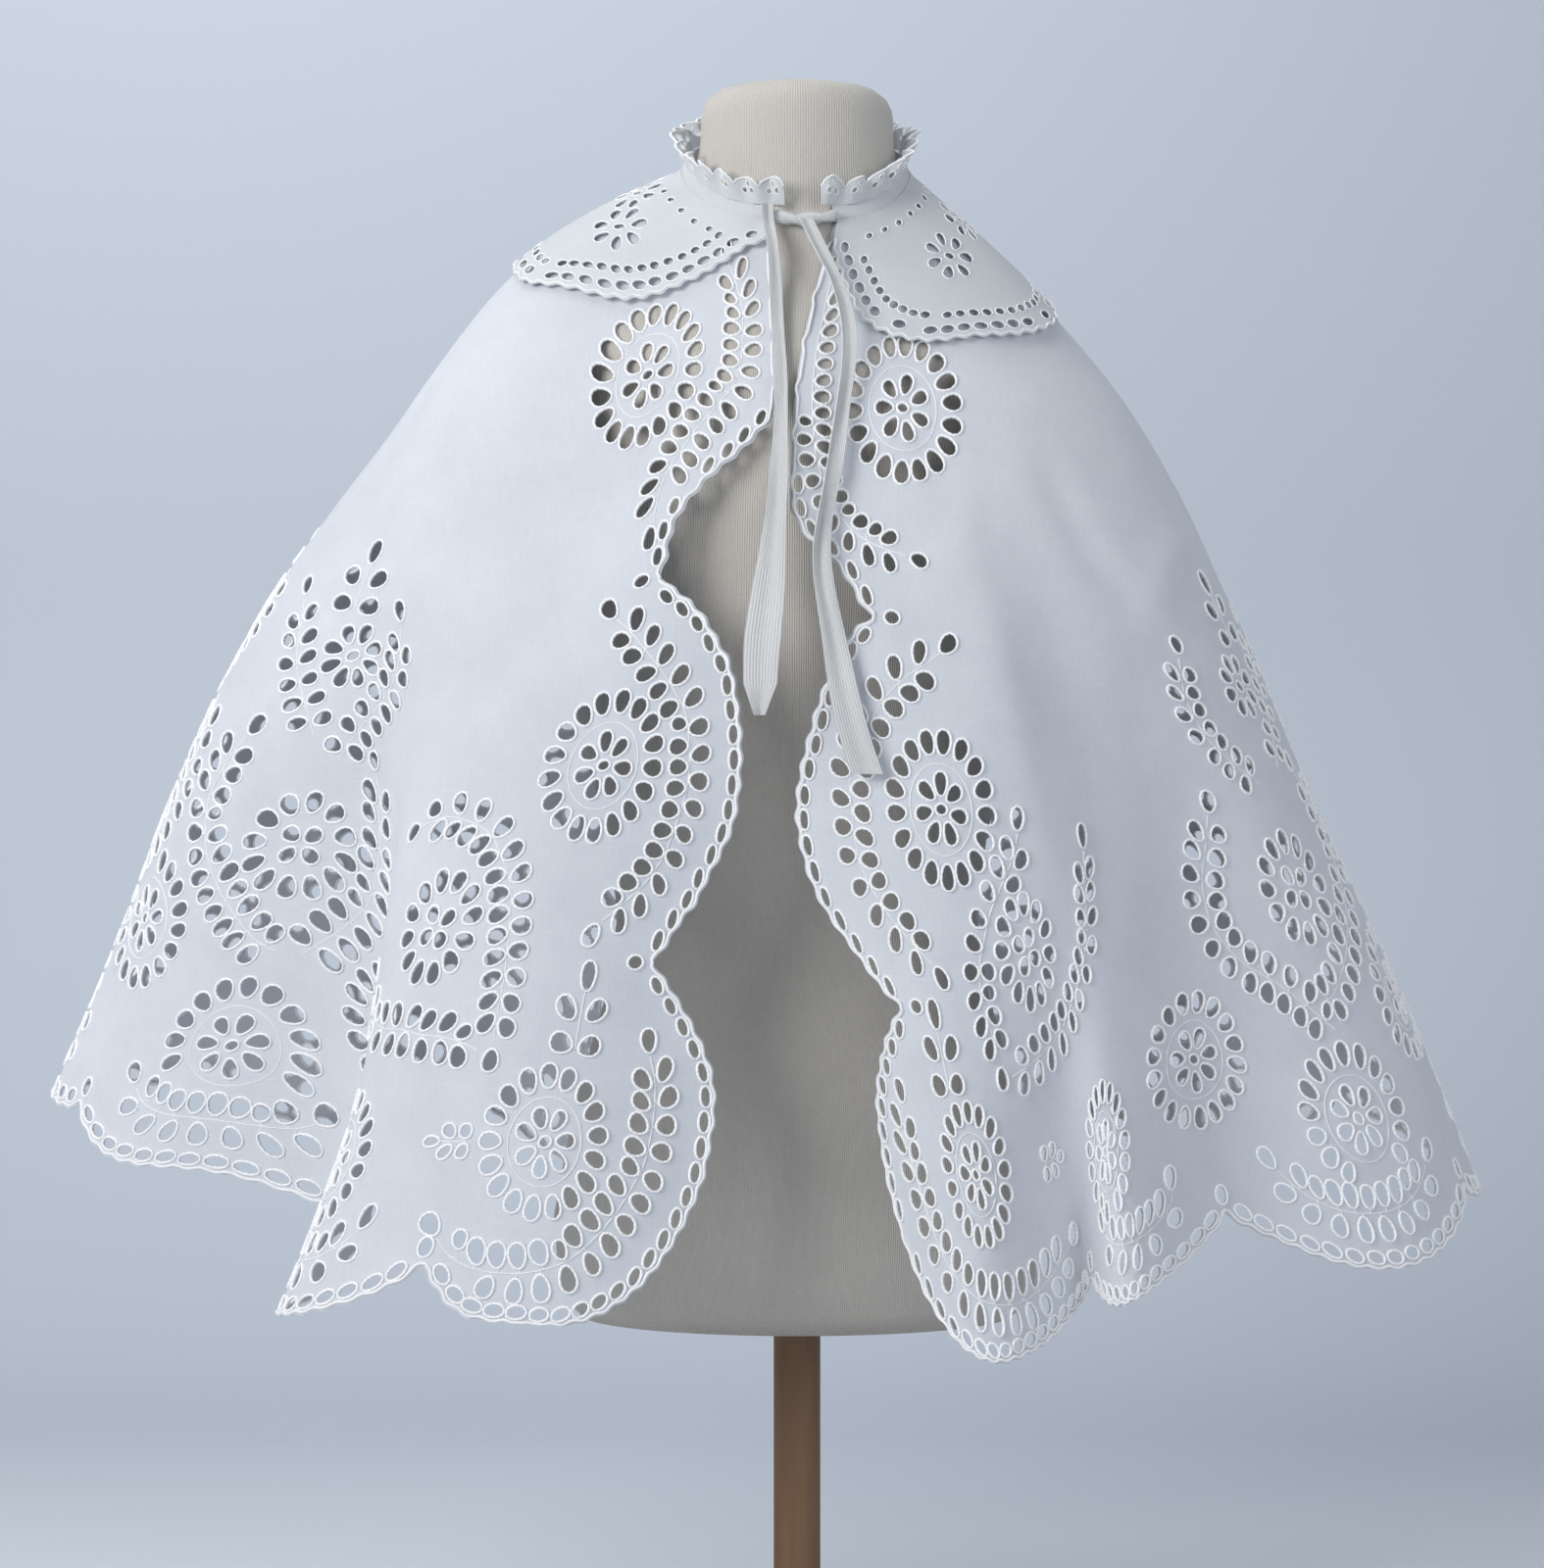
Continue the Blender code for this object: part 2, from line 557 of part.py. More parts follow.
def make_knot(drape: Drape, group: bpy.types.Collection) -> None:
    """The half knot: a short twisted strand between the band's two ends."""
    rise = CAPE_WALL / 2 + SEAM_GAP + BAND_HEIGHT * 0.45
    start, stop = drape.place(-1, 0.0), drape.place(1, 0.0)
    start = start + outward(start) * KNOT_SEAT + np.array([-KNOT_OVERLAP, 0, rise])
    stop = stop + outward(stop) * KNOT_SEAT + np.array([KNOT_OVERLAP, 0, rise])
    rows = []
    for i in range(9):
        share = i / 8
        middle = start + (stop - start) * share
        middle = middle + np.array([0, -KNOT_BOW, -KNOT_DIP]) * np.sin(np.pi * share)
        swell = 0.8 + 0.25 * np.sin(np.pi * share)
        row = []
        for k in range(10):
            turn = 2 * np.pi * k / 10
            row.append(middle + swell * np.array([0, KNOT_HALF_WIDTH * np.cos(turn), KNOT_HALF_HEIGHT * np.sin(turn)]))
        rows.append(row)
    new_object("tie_knot", loft("tie_knot", rows, True, True), "cotton_tape", group)


def make_tape(name: str, sections: tuple[TapeSection, ...], group: bpy.types.Collection) -> None:
    """One hanging end of the tape, through its sections."""
    outside, inside = [], []
    for section in sections:
        turn = np.radians(section.turn)
        along = np.array([np.cos(turn), np.sin(turn), 0.0])
        front = np.array([np.sin(turn), -np.cos(turn), 0.0])
        middle = np.array([section.x, section.y, section.z])
        ends = [middle + along * section.width * share for share in (-0.5, 0.0, 0.5)]
        outside.append([end + front * TAPE_WALL / 2 for end in ends])
        inside.append([end - front * TAPE_WALL / 2 for end in ends])
    new_object(name, wall(name, outside, inside), "cotton_tape", group)


def form_columns(drape: Drape, v: float) -> list[np.ndarray]:
    """A closed ring just inside the cape at level v: the cape's columns, then the front gap."""
    lift = -(CAPE_WALL / 2 + FORM_CLEARANCE)
    left = Outline(-1).column_shares()
    right = Outline(1).column_shares()[-2::-1]
    ring = [drape.place(-(1 - share), v, lift) for share in left]
    ring += [drape.place(1 - share, v, lift) for share in right]
    first, last = ring[0], ring[-1]
    for k in range(1, FORM_GAP_COLUMNS):
        share = k / FORM_GAP_COLUMNS
        turns = [np.arctan2(point[0], -point[1]) for point in (last, first)]
        radii = [np.hypot(point[0], point[1]) for point in (last, first)]
        turn = turns[0] + (turns[1] - turns[0]) * share
        radius = radii[0] + (radii[1] - radii[0]) * share
        height = last[2] + (first[2] - last[2]) * share
        ring.append(np.array([radius * np.sin(turn), -radius * np.cos(turn), height]))
    return ring


def section_ring(section: Section, directions: list[float]) -> list[np.ndarray]:
    """A level ring of the form, with a point in each given direction."""
    ring = []
    for turn in directions:
        across, along = np.sin(turn), np.cos(turn)
        half = section.left if across < 0 else section.right
        deep = section.back if along > 0 else section.front
        reach = 1 / np.sqrt((across / half) ** 2 + (along / deep) ** 2)
        ring.append(np.array([reach * across, reach * along, section.z]))
    return ring


def make_form(drape: Drape, group: bpy.types.Collection) -> None:
    """The limbless form: a neck, shoulders just inside the cape, then a plain torso."""
    shoulders = [form_columns(drape, v)[::2] for v in SHOULDER_LEVELS]
    directions = [np.arctan2(point[0], point[1]) for point in shoulders[2]]
    rows = [section_ring(section, directions) for section in FORM_NECK]
    neck = rows[-1]
    for rise in NECK_FILLET[::-1]:
        spread = (1 - rise) ** NECK_FILLET_POWER
        rows.append([upper + (lower - upper) * np.array([spread, spread, 1 - rise])
                     for upper, lower in zip(neck, shoulders[0])])
    rows += shoulders
    rows += [section_ring(section, directions) for section in FORM_BODY]
    new_object("form_torso", loft("form_torso", rows, True, True), "form_linen", group)


def make_stand(group: bpy.types.Collection) -> None:
    """The pole under the torso and the turned round base."""
    top = FORM_BODY[-1].z - SEAM_GAP
    bottom = HUB_HEIGHT + SEAM_GAP
    bpy.ops.mesh.primitive_cylinder_add(vertices=32, radius=POLE_RADIUS, depth=top - bottom,
                                        location=(0, 0, (top + bottom) / 2))
    pole = bpy.context.object
    pole.name = "stand_pole"
    pole.data.materials.append(bpy.data.materials["stand_wood"])
    profile = ((0.0, 0.0), (BASE_RADIUS - 0.003, 0.0), (BASE_RADIUS, 0.003), (BASE_RADIUS, BASE_EDGE_HEIGHT - 0.004),
               (BASE_RADIUS - 0.006, BASE_EDGE_HEIGHT), (BASE_RADIUS * 0.6, BASE_HEIGHT - 0.003),
               (HUB_RADIUS, BASE_HEIGHT), (HUB_RADIUS - 0.004, HUB_HEIGHT - 0.003),
               (HUB_RADIUS - 0.008, HUB_HEIGHT), (0.0, HUB_HEIGHT))
    mesh = bpy.data.meshes.new("stand_base")
    mesh.from_pydata([(radius, 0, z) for radius, z in profile],
                     [(k, k + 1) for k in range(len(profile) - 1)], [])
    base = new_object("stand_base", mesh, "stand_wood", group)
    turned = base.modifiers.new("turned", "SCREW")
    turned.axis = "Z"
    turned.steps = 48
    turned.render_steps = 48
    turned.use_merge_vertices = True
    turned.merge_threshold = 0.0001
    turned.use_normal_calculate = True
    for holder in pole.users_collection:
        holder.objects.unlink(pole)
    group.objects.link(pole)


def make_finishes() -> None:
    """The named materials."""
    for name, (colour, roughness, metallic) in FINISHES.items():
        material = bpy.data.materials.new(name)
        material.use_nodes = True
        shader = material.node_tree.nodes["Principled BSDF"]
        shader.inputs["Base Color"].default_value = (*colour, 1.0)
        shader.inputs["Roughness"].default_value = roughness
        shader.inputs["Metallic"].default_value = metallic


def main() -> None:
    """Clear the scene and build every piece."""
    for old in list(bpy.data.objects):
        bpy.data.objects.remove(old)
    group = bpy.data.collections.new("eyelet_cape")
    bpy.context.scene.collection.children.link(group)
    make_finishes()
    drape = Drape()
    make_form(drape, group)
    make_stand(group)
    for side in (-1, 1):
        make_cape_half(drape, side, group)
        make_collar_half(drape, side, group)
    make_neck(drape, group)
    make_knot(drape, group)
    make_tape("tie_left", LEFT_TAPE, group)
    make_tape("tie_right", RIGHT_TAPE, group)


main()
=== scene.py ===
"""The looks of a white eyelet cape, tied at the throat, on a limbless dress form with a plain stand.

Metres, +Z up, the garment's front toward -Y, left and right as the viewer sees them. The cape's
halves are drawn flat, with their scalloped outline and their eyelets, and are then laid on the same
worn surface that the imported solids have. Threadwork runs round every eyelet and along every edge.
"""

from __future__ import annotations

import logging
import math
from dataclasses import dataclass, field, replace
from enum import Enum
from typing import Callable, Sequence

import bpy
import numpy as np
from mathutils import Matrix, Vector, geometry, kdtree

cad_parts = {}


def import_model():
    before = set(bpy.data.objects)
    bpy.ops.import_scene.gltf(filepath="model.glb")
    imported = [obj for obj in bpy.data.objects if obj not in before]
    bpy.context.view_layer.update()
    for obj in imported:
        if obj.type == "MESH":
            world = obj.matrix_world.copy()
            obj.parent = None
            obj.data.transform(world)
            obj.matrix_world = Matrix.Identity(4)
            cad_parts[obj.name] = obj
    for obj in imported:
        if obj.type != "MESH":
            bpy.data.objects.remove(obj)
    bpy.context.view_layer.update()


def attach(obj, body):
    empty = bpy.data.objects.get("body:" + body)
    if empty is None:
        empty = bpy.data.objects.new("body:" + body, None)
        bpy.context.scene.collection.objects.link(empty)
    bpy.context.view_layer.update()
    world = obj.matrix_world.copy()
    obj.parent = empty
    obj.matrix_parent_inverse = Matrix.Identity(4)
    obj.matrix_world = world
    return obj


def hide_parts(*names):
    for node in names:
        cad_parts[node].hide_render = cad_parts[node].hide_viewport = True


LOG = logging.getLogger("eyelet_cape")
PATTERN = "pattern"

# Distance between the points of a worked edge, and the row height and scale used to fill outlines
FINE_STEP = 0.0005
ROW_HEIGHT = 0.866
ENLARGED = 100

# Half width and half height of the cape's threadwork
RIM_THREAD = (0.00122, 0.00070)
EDGE_THREAD = (0.0019, 0.00085)
STEM_THREAD = (0.00055, 0.00030)

# The cape as cut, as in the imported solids
HEM_STEP = 0.145
STEPS_PER_HALF = 7.5
NECK_RADIUS = 0.125
HEM_RADIUS = 0.730
LENGTH = HEM_RADIUS - NECK_RADIUS
HALF_ANGLE = HEM_STEP * STEPS_PER_HALF / HEM_RADIUS
LENGTH_FRONT, LENGTH_SIDE, LENGTH_BACK = 0.584, 0.612, 0.615
HEM_SCALLOP_DEPTH = 0.024
NECK_Z_FRONT, NECK_Z_SIDE, NECK_Z_BACK = 0.772, 0.808, 0.828
WAIST_LEVEL, LOW_LEVEL, HEM_LEVEL = 0.62, 0.82, 1.00

# Sections: level, left, right, front, back, gap left, gap right
UPPER_RINGS = (
    (0.00, 0.062, 0.060, 0.056, 0.056, -0.0147, 0.0190),
    (0.15, 0.143, 0.128, 0.088, 0.092, -0.0115, 0.0000),
    (0.31, 0.207, 0.191, 0.125, 0.137, -0.0125, -0.0045),
)
# Folds: steps from the front edge, then plan x and y at the waist, low and hem, then extra length
LEFT_FOLDS = (
    (0.0, -0.031, -0.146, -0.040, -0.158, -0.043, -0.166, 0.000),
    (1.0, -0.135, -0.160, -0.162, -0.176, -0.183, -0.187, 0.008),
    (1.7, -0.200, -0.128, -0.220, -0.128, -0.256, -0.128, 0.025),
    (2.0, -0.203, -0.102, -0.206, -0.096, -0.226, -0.088, 0.008),
    (2.5, -0.228, -0.080, -0.260, -0.064, -0.288, -0.050, -0.012),
    (3.1, -0.288, -0.046, -0.333, -0.028, -0.374, -0.014, 0.018),
    (3.7, -0.314, 0.008, -0.363, 0.032, -0.408, 0.054, 0.014),
    (4.4, -0.288, 0.080, -0.320, 0.106, -0.346, 0.128, 0.006),
    (5.1, -0.238, 0.116, -0.246, 0.136, -0.252, 0.150, 0.000),
    (5.8, -0.172, 0.155, -0.174, 0.196, -0.176, 0.232, 0.000),
    (6.5, -0.101, 0.164, -0.098, 0.182, -0.095, 0.196, 0.000),
)
CENTRE_BACK = (7.5, -0.016, 0.200, -0.014, 0.222, -0.012, 0.242, 0.000)
RIGHT_FOLDS = (
    (0.0, 0.002, -0.140, 0.034, -0.138, 0.044, -0.136, 0.010),
    (0.6, 0.064, -0.160, 0.086, -0.172, 0.102, -0.184, 0.020),
    (1.1, 0.117, -0.142, 0.133, -0.138, 0.148, -0.134, 0.008),
    (1.45, 0.146, -0.122, 0.153, -0.138, 0.162, -0.160, 0.000),
    (2.0, 0.192, -0.082, 0.206, -0.086, 0.220, -0.092, -0.006),
    (2.5, 0.234, -0.058, 0.260, -0.066, 0.286, -0.076, 0.020),
    (3.1, 0.268, -0.018, 0.314, -0.024, 0.350, -0.030, 0.038),
    (3.7, 0.276, 0.042, 0.330, 0.046, 0.374, 0.050, 0.034),
    (4.4, 0.252, 0.106, 0.294, 0.122, 0.328, 0.132, 0.010),
    (5.1, 0.208, 0.148, 0.226, 0.150, 0.240, 0.148, 0.002),
    (5.8, 0.142, 0.178, 0.154, 0.208, 0.166, 0.236, 0.000),
    (6.5, 0.070, 0.180, 0.076, 0.188, 0.082, 0.194, 0.000),
)

# Cut edge: millimetres from the front edge's line along the arc, then the radius from the neck's centre
LEFT_RUNS = (
    ((0, 137), (0, 180), (0, 225), (1.5, 243), (6, 250), (17, 266), (30, 282), (41, 300), (46, 314),
     (48, 330), (50, 341)),
    ((50, 341), (43, 347.5), (35.5, 353.5), (28, 362), (21.5, 373), (15.5, 383), (12, 394), (9, 407),
     (6.5, 421), (5, 434), (4.3, 450), (5.5, 467), (9.5, 481), (15, 495), (20, 509), (26, 518.5),
     (32, 531), (38.5, 542.5)),
    ((38.5, 542.5), (29, 554), (20, 566), (13, 577), (8, 587), (4.5, 596), (2.5, 608), (2.5, 618),
     (4, 632), (6.5, 647), (10, 657.5), (15, 669), (22, 682), (31, 695), (42, 707.5), (56, 718.5),
     (70, 726), (84, 730), (98, 731), (110, 730.5), (120, 729.5), (128, 727), (134, 722), (139, 714),
     (142, 707), (145, 702)),
)
RIGHT_RUNS = (
    ((0, 137), (0, 180), (0, 230), (0, 285), (1, 297), (7, 310), (20, 323), (28, 335), (34, 347),
     (38, 352.5)),
    ((38, 352.5), (30, 359), (25, 367), (21, 377), (17.5, 388), (14, 400), (11, 413), (7.5, 428),
     (4.5, 444), (3, 457), (3.5, 470), (5, 484), (8, 497), (13, 509), (20, 521), (27, 533), (34, 543),
     (41, 550)),
    ((41, 550), (30, 566), (20, 585), (13.5, 602), (10, 622), (9.5, 641), (14, 660), (22, 679.5),
     (34, 699), (50, 714), (66, 722.5), (80, 725.5), (98, 724.5), (116, 722), (132, 718.5),
     (147, 713.5), (160, 706)),
)
LEFT_NOTCHES = (1.040, 2.08, 3.3, 4.5, 5.7, 6.9)
RIGHT_NOTCHES = (1.141, 2.01, 3.3, 4.5, 5.7, 6.9)

# Collar: share of the way round from the centre back, then the level of its edge on the cape
LEFT_REACH = ((0.990, 0.020), (0.930, 0.030), (0.840, 0.068), (0.740, 0.118), (0.640, 0.154),
              (0.560, 0.162), (0.480, 0.158), (0.300, 0.156), (0.0, 0.160))
RIGHT_REACH = ((0.990, 0.020), (0.960, 0.046), (0.890, 0.106), (0.800, 0.144), (0.690, 0.162),
               (0.580, 0.172), (0.480, 0.164), (0.300, 0.160), (0.0, 0.160))

# Tapes: x, y, z, width, turn in degrees
LEFT_TAPE = (
    (-0.0157, -0.0610, 0.7815, 0.0070, -4.0), (-0.0155, -0.0610, 0.7755, 0.0070, -4.0),
    (-0.0135, -0.0680, 0.7640, 0.0080, -12.0), (-0.0110, -0.0745, 0.7344, 0.0110, -20.0),
    (-0.0085, -0.1040, 0.6687, 0.0125, -24.0), (-0.0110, -0.1255, 0.6200, 0.0140, -18.0),
    (-0.0150, -0.1380, 0.5778, 0.0185, -10.0), (-0.0180, -0.1435, 0.5532, 0.0200, -6.0),
    (-0.0192, -0.1455, 0.5300, 0.0180, -4.0), (-0.0195, -0.1465, 0.5142, 0.0060, -4.0),
)
RIGHT_TAPE = (
    (0.0040, -0.0629, 0.7735, 0.0080, 6.0), (0.0120, -0.0720, 0.7560, 0.0100, 14.0),
    (0.0212, -0.0820, 0.7344, 0.0120, 18.0), (0.0258, -0.0885, 0.7119, 0.0125, 20.0),
    (0.0225, -0.1020, 0.6740, 0.0130, 24.0), (0.0174, -0.1180, 0.6379, 0.0130, 24.0),
    (0.0113, -0.1330, 0.5974, 0.0125, 18.0), (0.0171, -0.1445, 0.5531, 0.0140, 10.0),
    (0.0258, -0.1535, 0.5092, 0.0165, 8.0), (0.0335, -0.1580, 0.4849, 0.0165, 6.0),
)

# Form: z, left, right, front, back
FORM_NECK = (
    (0.8530, 0.0020, 0.0020, 0.0020, 0.0020), (0.8527, 0.0200, 0.0200, 0.0190, 0.0190),
    (0.8518, 0.0330, 0.0330, 0.0315, 0.0315), (0.8495, 0.0425, 0.0425, 0.0405, 0.0405),
    (0.8450, 0.0482, 0.0482, 0.0460, 0.0460), (0.8400, 0.0507, 0.0507, 0.0482, 0.0482),
    (0.8350, 0.0515, 0.0515, 0.0488, 0.0488),
)
FORM_BODY = (
    (0.672, 0.1500, 0.1440, 0.0930, 0.1000), (0.630, 0.1440, 0.1400, 0.1020, 0.1040),
    (0.580, 0.1340, 0.1320, 0.1060, 0.1000), (0.520, 0.1200, 0.1190, 0.0990, 0.0910),
    (0.455, 0.1020, 0.1020, 0.0840, 0.0810), (0.410, 0.0960, 0.0960, 0.0790, 0.0770),
    (0.365, 0.1030, 0.1030, 0.0830, 0.0840), (0.310, 0.1190, 0.1190, 0.0900, 0.0990),
    (0.250, 0.1300, 0.1300, 0.0940, 0.1080), (0.208, 0.1270, 0.1270, 0.0910, 0.1060),
    (0.196, 0.1150, 0.1150, 0.0800, 0.0940),
)
SHOULDER_LEVELS = (0.0, 0.02, 0.045, 0.075, 0.11, 0.15)

# Stems of the three front sprays from the top down: steps from the front edge, then radius in mm
LEFT_STEMS = (
    ((0.78, 151), (0.56, 164), (0.42, 182), (0.38, 207), (0.40, 218), (0.45, 228), (0.55, 238), (0.67, 250),
     (0.78, 264), (0.87, 279), (0.90, 294), (0.88, 312)),
    ((0.94, 366), (0.85, 371), (0.72, 381), (0.60, 391), (0.50, 401), (0.41, 412), (0.37, 424), (0.34, 437),
     (0.33, 450), (0.34, 462), (0.36, 474), (0.39, 488), (0.45, 502), (0.54, 515), (0.62, 526)),
    ((0.31, 590), (0.28, 602), (0.27, 620), (0.29, 642), (0.33, 655), (0.39, 670), (0.47, 685), (0.56, 697),
     (0.67, 704), (0.78, 706), (0.88, 704), (0.96, 698), (1.01, 689)),
)
RIGHT_STEMS = (
    ((0.22, 160), (0.20, 182), (0.18, 208), (0.18, 235), (0.20, 251), (0.22, 266), (0.28, 281), (0.35, 294),
     (0.46, 305), (0.59, 313), (0.72, 319), (0.84, 324)),
    ((0.89, 378), (0.81, 381), (0.69, 385), (0.59, 391), (0.49, 401), (0.41, 412), (0.36, 423), (0.32, 435),
     (0.31, 449), (0.31, 474), (0.34, 487), (0.39, 500), (0.45, 511), (0.51, 521), (0.57, 530)),
    ((0.26, 601), (0.24, 613), (0.24, 626), (0.27, 645), (0.31, 664), (0.38, 681), (0.47, 692), (0.59, 698),
     (0.71, 699), (0.82, 696), (0.92, 690), (1.00, 684)),
)
# Sprays beside a flower: metres away from the front, then up toward the neck, and the stem's outer side
LEFT_PANEL = (
    (((0.025, 0.050), (0.012, 0.056), (-0.001, 0.054), (-0.011, 0.048), (-0.020, 0.035), (-0.027, 0.022),
      (-0.031, 0.007), (-0.034, -0.008), (-0.037, -0.025), (-0.039, -0.043), (-0.041, -0.058)), 1),
    (((0.042, -0.030), (0.033, -0.044), (0.021, -0.050), (0.006, -0.051), (-0.006, -0.054), (-0.016, -0.055),
      (-0.027, -0.058), (-0.036, -0.062)), -1),
)
RIGHT_PANEL = (
    (((0.006, 0.058), (0.002, 0.048), (-0.002, 0.042), (-0.008, 0.033), (-0.014, 0.024), (-0.019, 0.013),
      (-0.024, 0.001), (-0.026, -0.011), (-0.026, -0.024), (-0.025, -0.037), (-0.025, -0.048)), 1),
    (((0.043, 0.040), (0.041, 0.021), (0.041, 0.003), (0.039, -0.009), (0.034, -0.021), (0.027, -0.031),
      (0.019, -0.041), (0.011, -0.047), (0.002, -0.051), (-0.010, -0.055), (-0.022, -0.057)), -1),
)
STAR_FRONT = ((-0.023, 0.024), (-0.028, 0.014), (-0.029, -0.001), (-0.025, -0.014), (-0.019, -0.028),
              (-0.012, -0.043), (-0.008, -0.057))
STAR_AWAY = ((0.041, 0.025), (0.035, 0.011), (0.031, -0.003), (0.024, -0.017), (0.016, -0.030),
             (0.007, -0.045))
RIGHT_STAR_FRONT = ((-0.040, 0.020), (-0.048, 0.002), (-0.049, -0.012), (-0.046, -0.024), (-0.038, -0.034),
                    (-0.030, -0.042), (-0.018, -0.050))
CUP_FRONT = ((-0.029, 0.052), (-0.035, 0.043), (-0.038, 0.032), (-0.042, 0.021), (-0.042, 0.008),
             (-0.041, -0.008), (-0.036, -0.022), (-0.029, -0.036), (-0.022, -0.048), (-0.016, -0.058))
CUP_AWAY = ((0.047, 0.054), (0.053, 0.043), (0.057, 0.030), (0.059, 0.018), (0.056, 0.006), (0.051, -0.006),
            (0.043, -0.018), (0.032, -0.031), (0.019, -0.044), (0.006, -0.055), (-0.007, -0.060))
RIGHT_CUP_FRONT = ((-0.050, 0.039), (-0.057, 0.024), (-0.064, 0.010), (-0.067, -0.003), (-0.066, -0.017),
                   (-0.060, -0.029), (-0.051, -0.038), (-0.040, -0.044), (-0.030, -0.049), (-0.020, -0.056),
                   (-0.010, -0.064), (0.000, -0.073))
# Bouquets round the body: steps from the front edge and radius of the sprig, the star, the flower
# and the wheel
LEFT_BOUQUETS = ((2.78, 0.404, 2.69, 0.443, 2.65, 0.546, 2.66, 0.660),
                 (3.92, 0.402, 3.90, 0.441, 3.88, 0.542, 3.87, 0.658),
                 (5.10, 0.400, 5.10, 0.439, 5.10, 0.540, 5.08, 0.657),
                 (6.31, 0.401, 6.30, 0.440, 6.30, 0.541, 6.28, 0.658))
RIGHT_BOUQUETS = ((3.08, 0.394, 2.89, 0.431, 2.73, 0.536, 2.72, 0.654),
                  (3.96, 0.397, 3.93, 0.436, 3.90, 0.538, 3.88, 0.653),
                  (5.11, 0.399, 5.10, 0.438, 5.09, 0.540, 5.07, 0.655),
                  (6.30, 0.402, 6.30, 0.441, 6.30, 0.541, 6.28, 0.657))

# How narrow the motifs are round the body, by radius: on the front panels, then on the wings
LEFT_NARROW = ((0.20, 0.30, 0.45, 0.53, 0.60, 0.73), (0.54, 0.58, 0.63, 0.64, 0.76, 0.80))
RIGHT_NARROW = ((0.20, 0.30, 0.45, 0.55, 0.73), (0.62, 0.62, 0.55, 0.52, 0.62))
LEFT_WIDENS, RIGHT_WIDENS = (1.45, 2.10, 1.0), (1.30, 2.20, 0.95)


class Side(Enum):
    """The viewer's side."""

    LEFT = -1
    RIGHT = 1

    @property
    def word(self) -> str:
        """The side's name in a piece's name."""
        return self.name.lower()


class Held(Enum):
    """How a sheet is held."""

    DRAPED = "draped"
    HUNG = "hung"
    GATHERED = "gathered"
    STRETCHED = "stretched"


def spline(at: np.ndarray, known: np.ndarray, values: np.ndarray) -> np.ndarray:
    """Natural cubic spline through values at known places.

    Args:
        at: Places asked for.
        known: Places that are known, rising.
        values: One value, row or grid for each known place.

    Returns:
        The values at the places asked for.
    """
    count = len(known)
    gaps = np.diff(known)
    system = np.eye(count)
    right = np.zeros_like(values, dtype=float)
    for i in range(1, count - 1):
        system[i, i - 1:i + 2] = gaps[i - 1], 2 * (gaps[i - 1] + gaps[i]), gaps[i]
        right[i] = 6 * ((values[i + 1] - values[i]) / gaps[i] - (values[i] - values[i - 1]) / gaps[i - 1])
    bend = np.linalg.solve(system, right.reshape(count, -1)).reshape(values.shape)
    span = np.clip(np.searchsorted(known, at) - 1, 0, count - 2)
    shape = (-1,) + (1,) * (values.ndim - 1)
    t = (at - known[span]).reshape(shape)
    gap = gaps[span].reshape(shape)
    slope = (values[span + 1] - values[span]) / gap - gap * (2 * bend[span] + bend[span + 1]) / 6
    return values[span] + t * (slope + t * (bend[span] / 2 + t * (bend[span + 1] - bend[span]) / (6 * gap)))


def resample(path: np.ndarray, step: float) -> np.ndarray:
    """Points evenly spaced along a path.

    Args:
        path: Points of the path.
        step: Distance wanted between points, in metres.

    Returns:
        The new points, both ends included.
    """
    run = np.concatenate([[0], np.cumsum(np.linalg.norm(np.diff(path, axis=0), axis=1))])
    count = max(2, int(round(run[-1] / step)) + 1)
    at = np.linspace(0, run[-1], count)
    return np.stack([np.interp(at, run, path[:, k]) for k in range(path.shape[1])], axis=1)


def smooth(points: Sequence[Sequence[float]], count: int = 60) -> np.ndarray:
    """A smooth line through points.

    Args:
        points: The points.
        count: Roughly how many points to return.

    Returns:
        The line's points.
    """
    p = np.array(points, float)
    p = np.concatenate([[2 * p[0] - p[1]], p, [2 * p[-1] - p[-2]]])
    spans = len(p) - 3
    out = []
    for i in range(spans):
        t = np.linspace(0, 1, max(2, count // spans), endpoint=i == spans - 1)[:, None]
        a, b, c, d = p[i:i + 4]
        out.append(0.5 * (2 * b + (c - a) * t + (2 * a - 5 * b + 4 * c - d) * t ** 2
                          + (3 * b - a - 3 * c + d) * t ** 3))
    return np.concatenate(out)


def inward_of(path: np.ndarray) -> np.ndarray:
    """Unit normals on the cloth's side of a path that runs down the front and back along the hem.

    Args:
        path: Points on the flat cloth.

    Returns:
        One unit vector for each point.
    """
    step = np.gradient(path, axis=0)
    step /= np.linalg.norm(step, axis=1, keepdims=True)
    return np.stack([step[:, 1], -step[:, 0]], axis=1)


def flat_point(from_edge: float | np.ndarray, radius: float | np.ndarray) -> np.ndarray:
    """A point of the flat cloth.

    Args:
        from_edge: Distance along the arc from the front edge's line.
        radius: Distance from the neck's centre.

    Returns:
        Its x, away from the front edge, and y, down from the neck's centre.
    """
    turn = np.asarray(from_edge) / np.asarray(radius)
    return np.stack([radius * np.sin(turn), radius * np.cos(turn)], axis=-1)


def at_step(steps: float, radius: float) -> tuple[float, float]:
    """A flat point given in hem steps.

    Args:
        steps: Hem steps from the front edge's line.
        radius: Distance from the neck's centre.

    Returns:
        The point's x and y.
    """
    turn = steps / STEPS_PER_HALF * HALF_ANGLE
    return radius * math.sin(turn), radius * math.cos(turn)


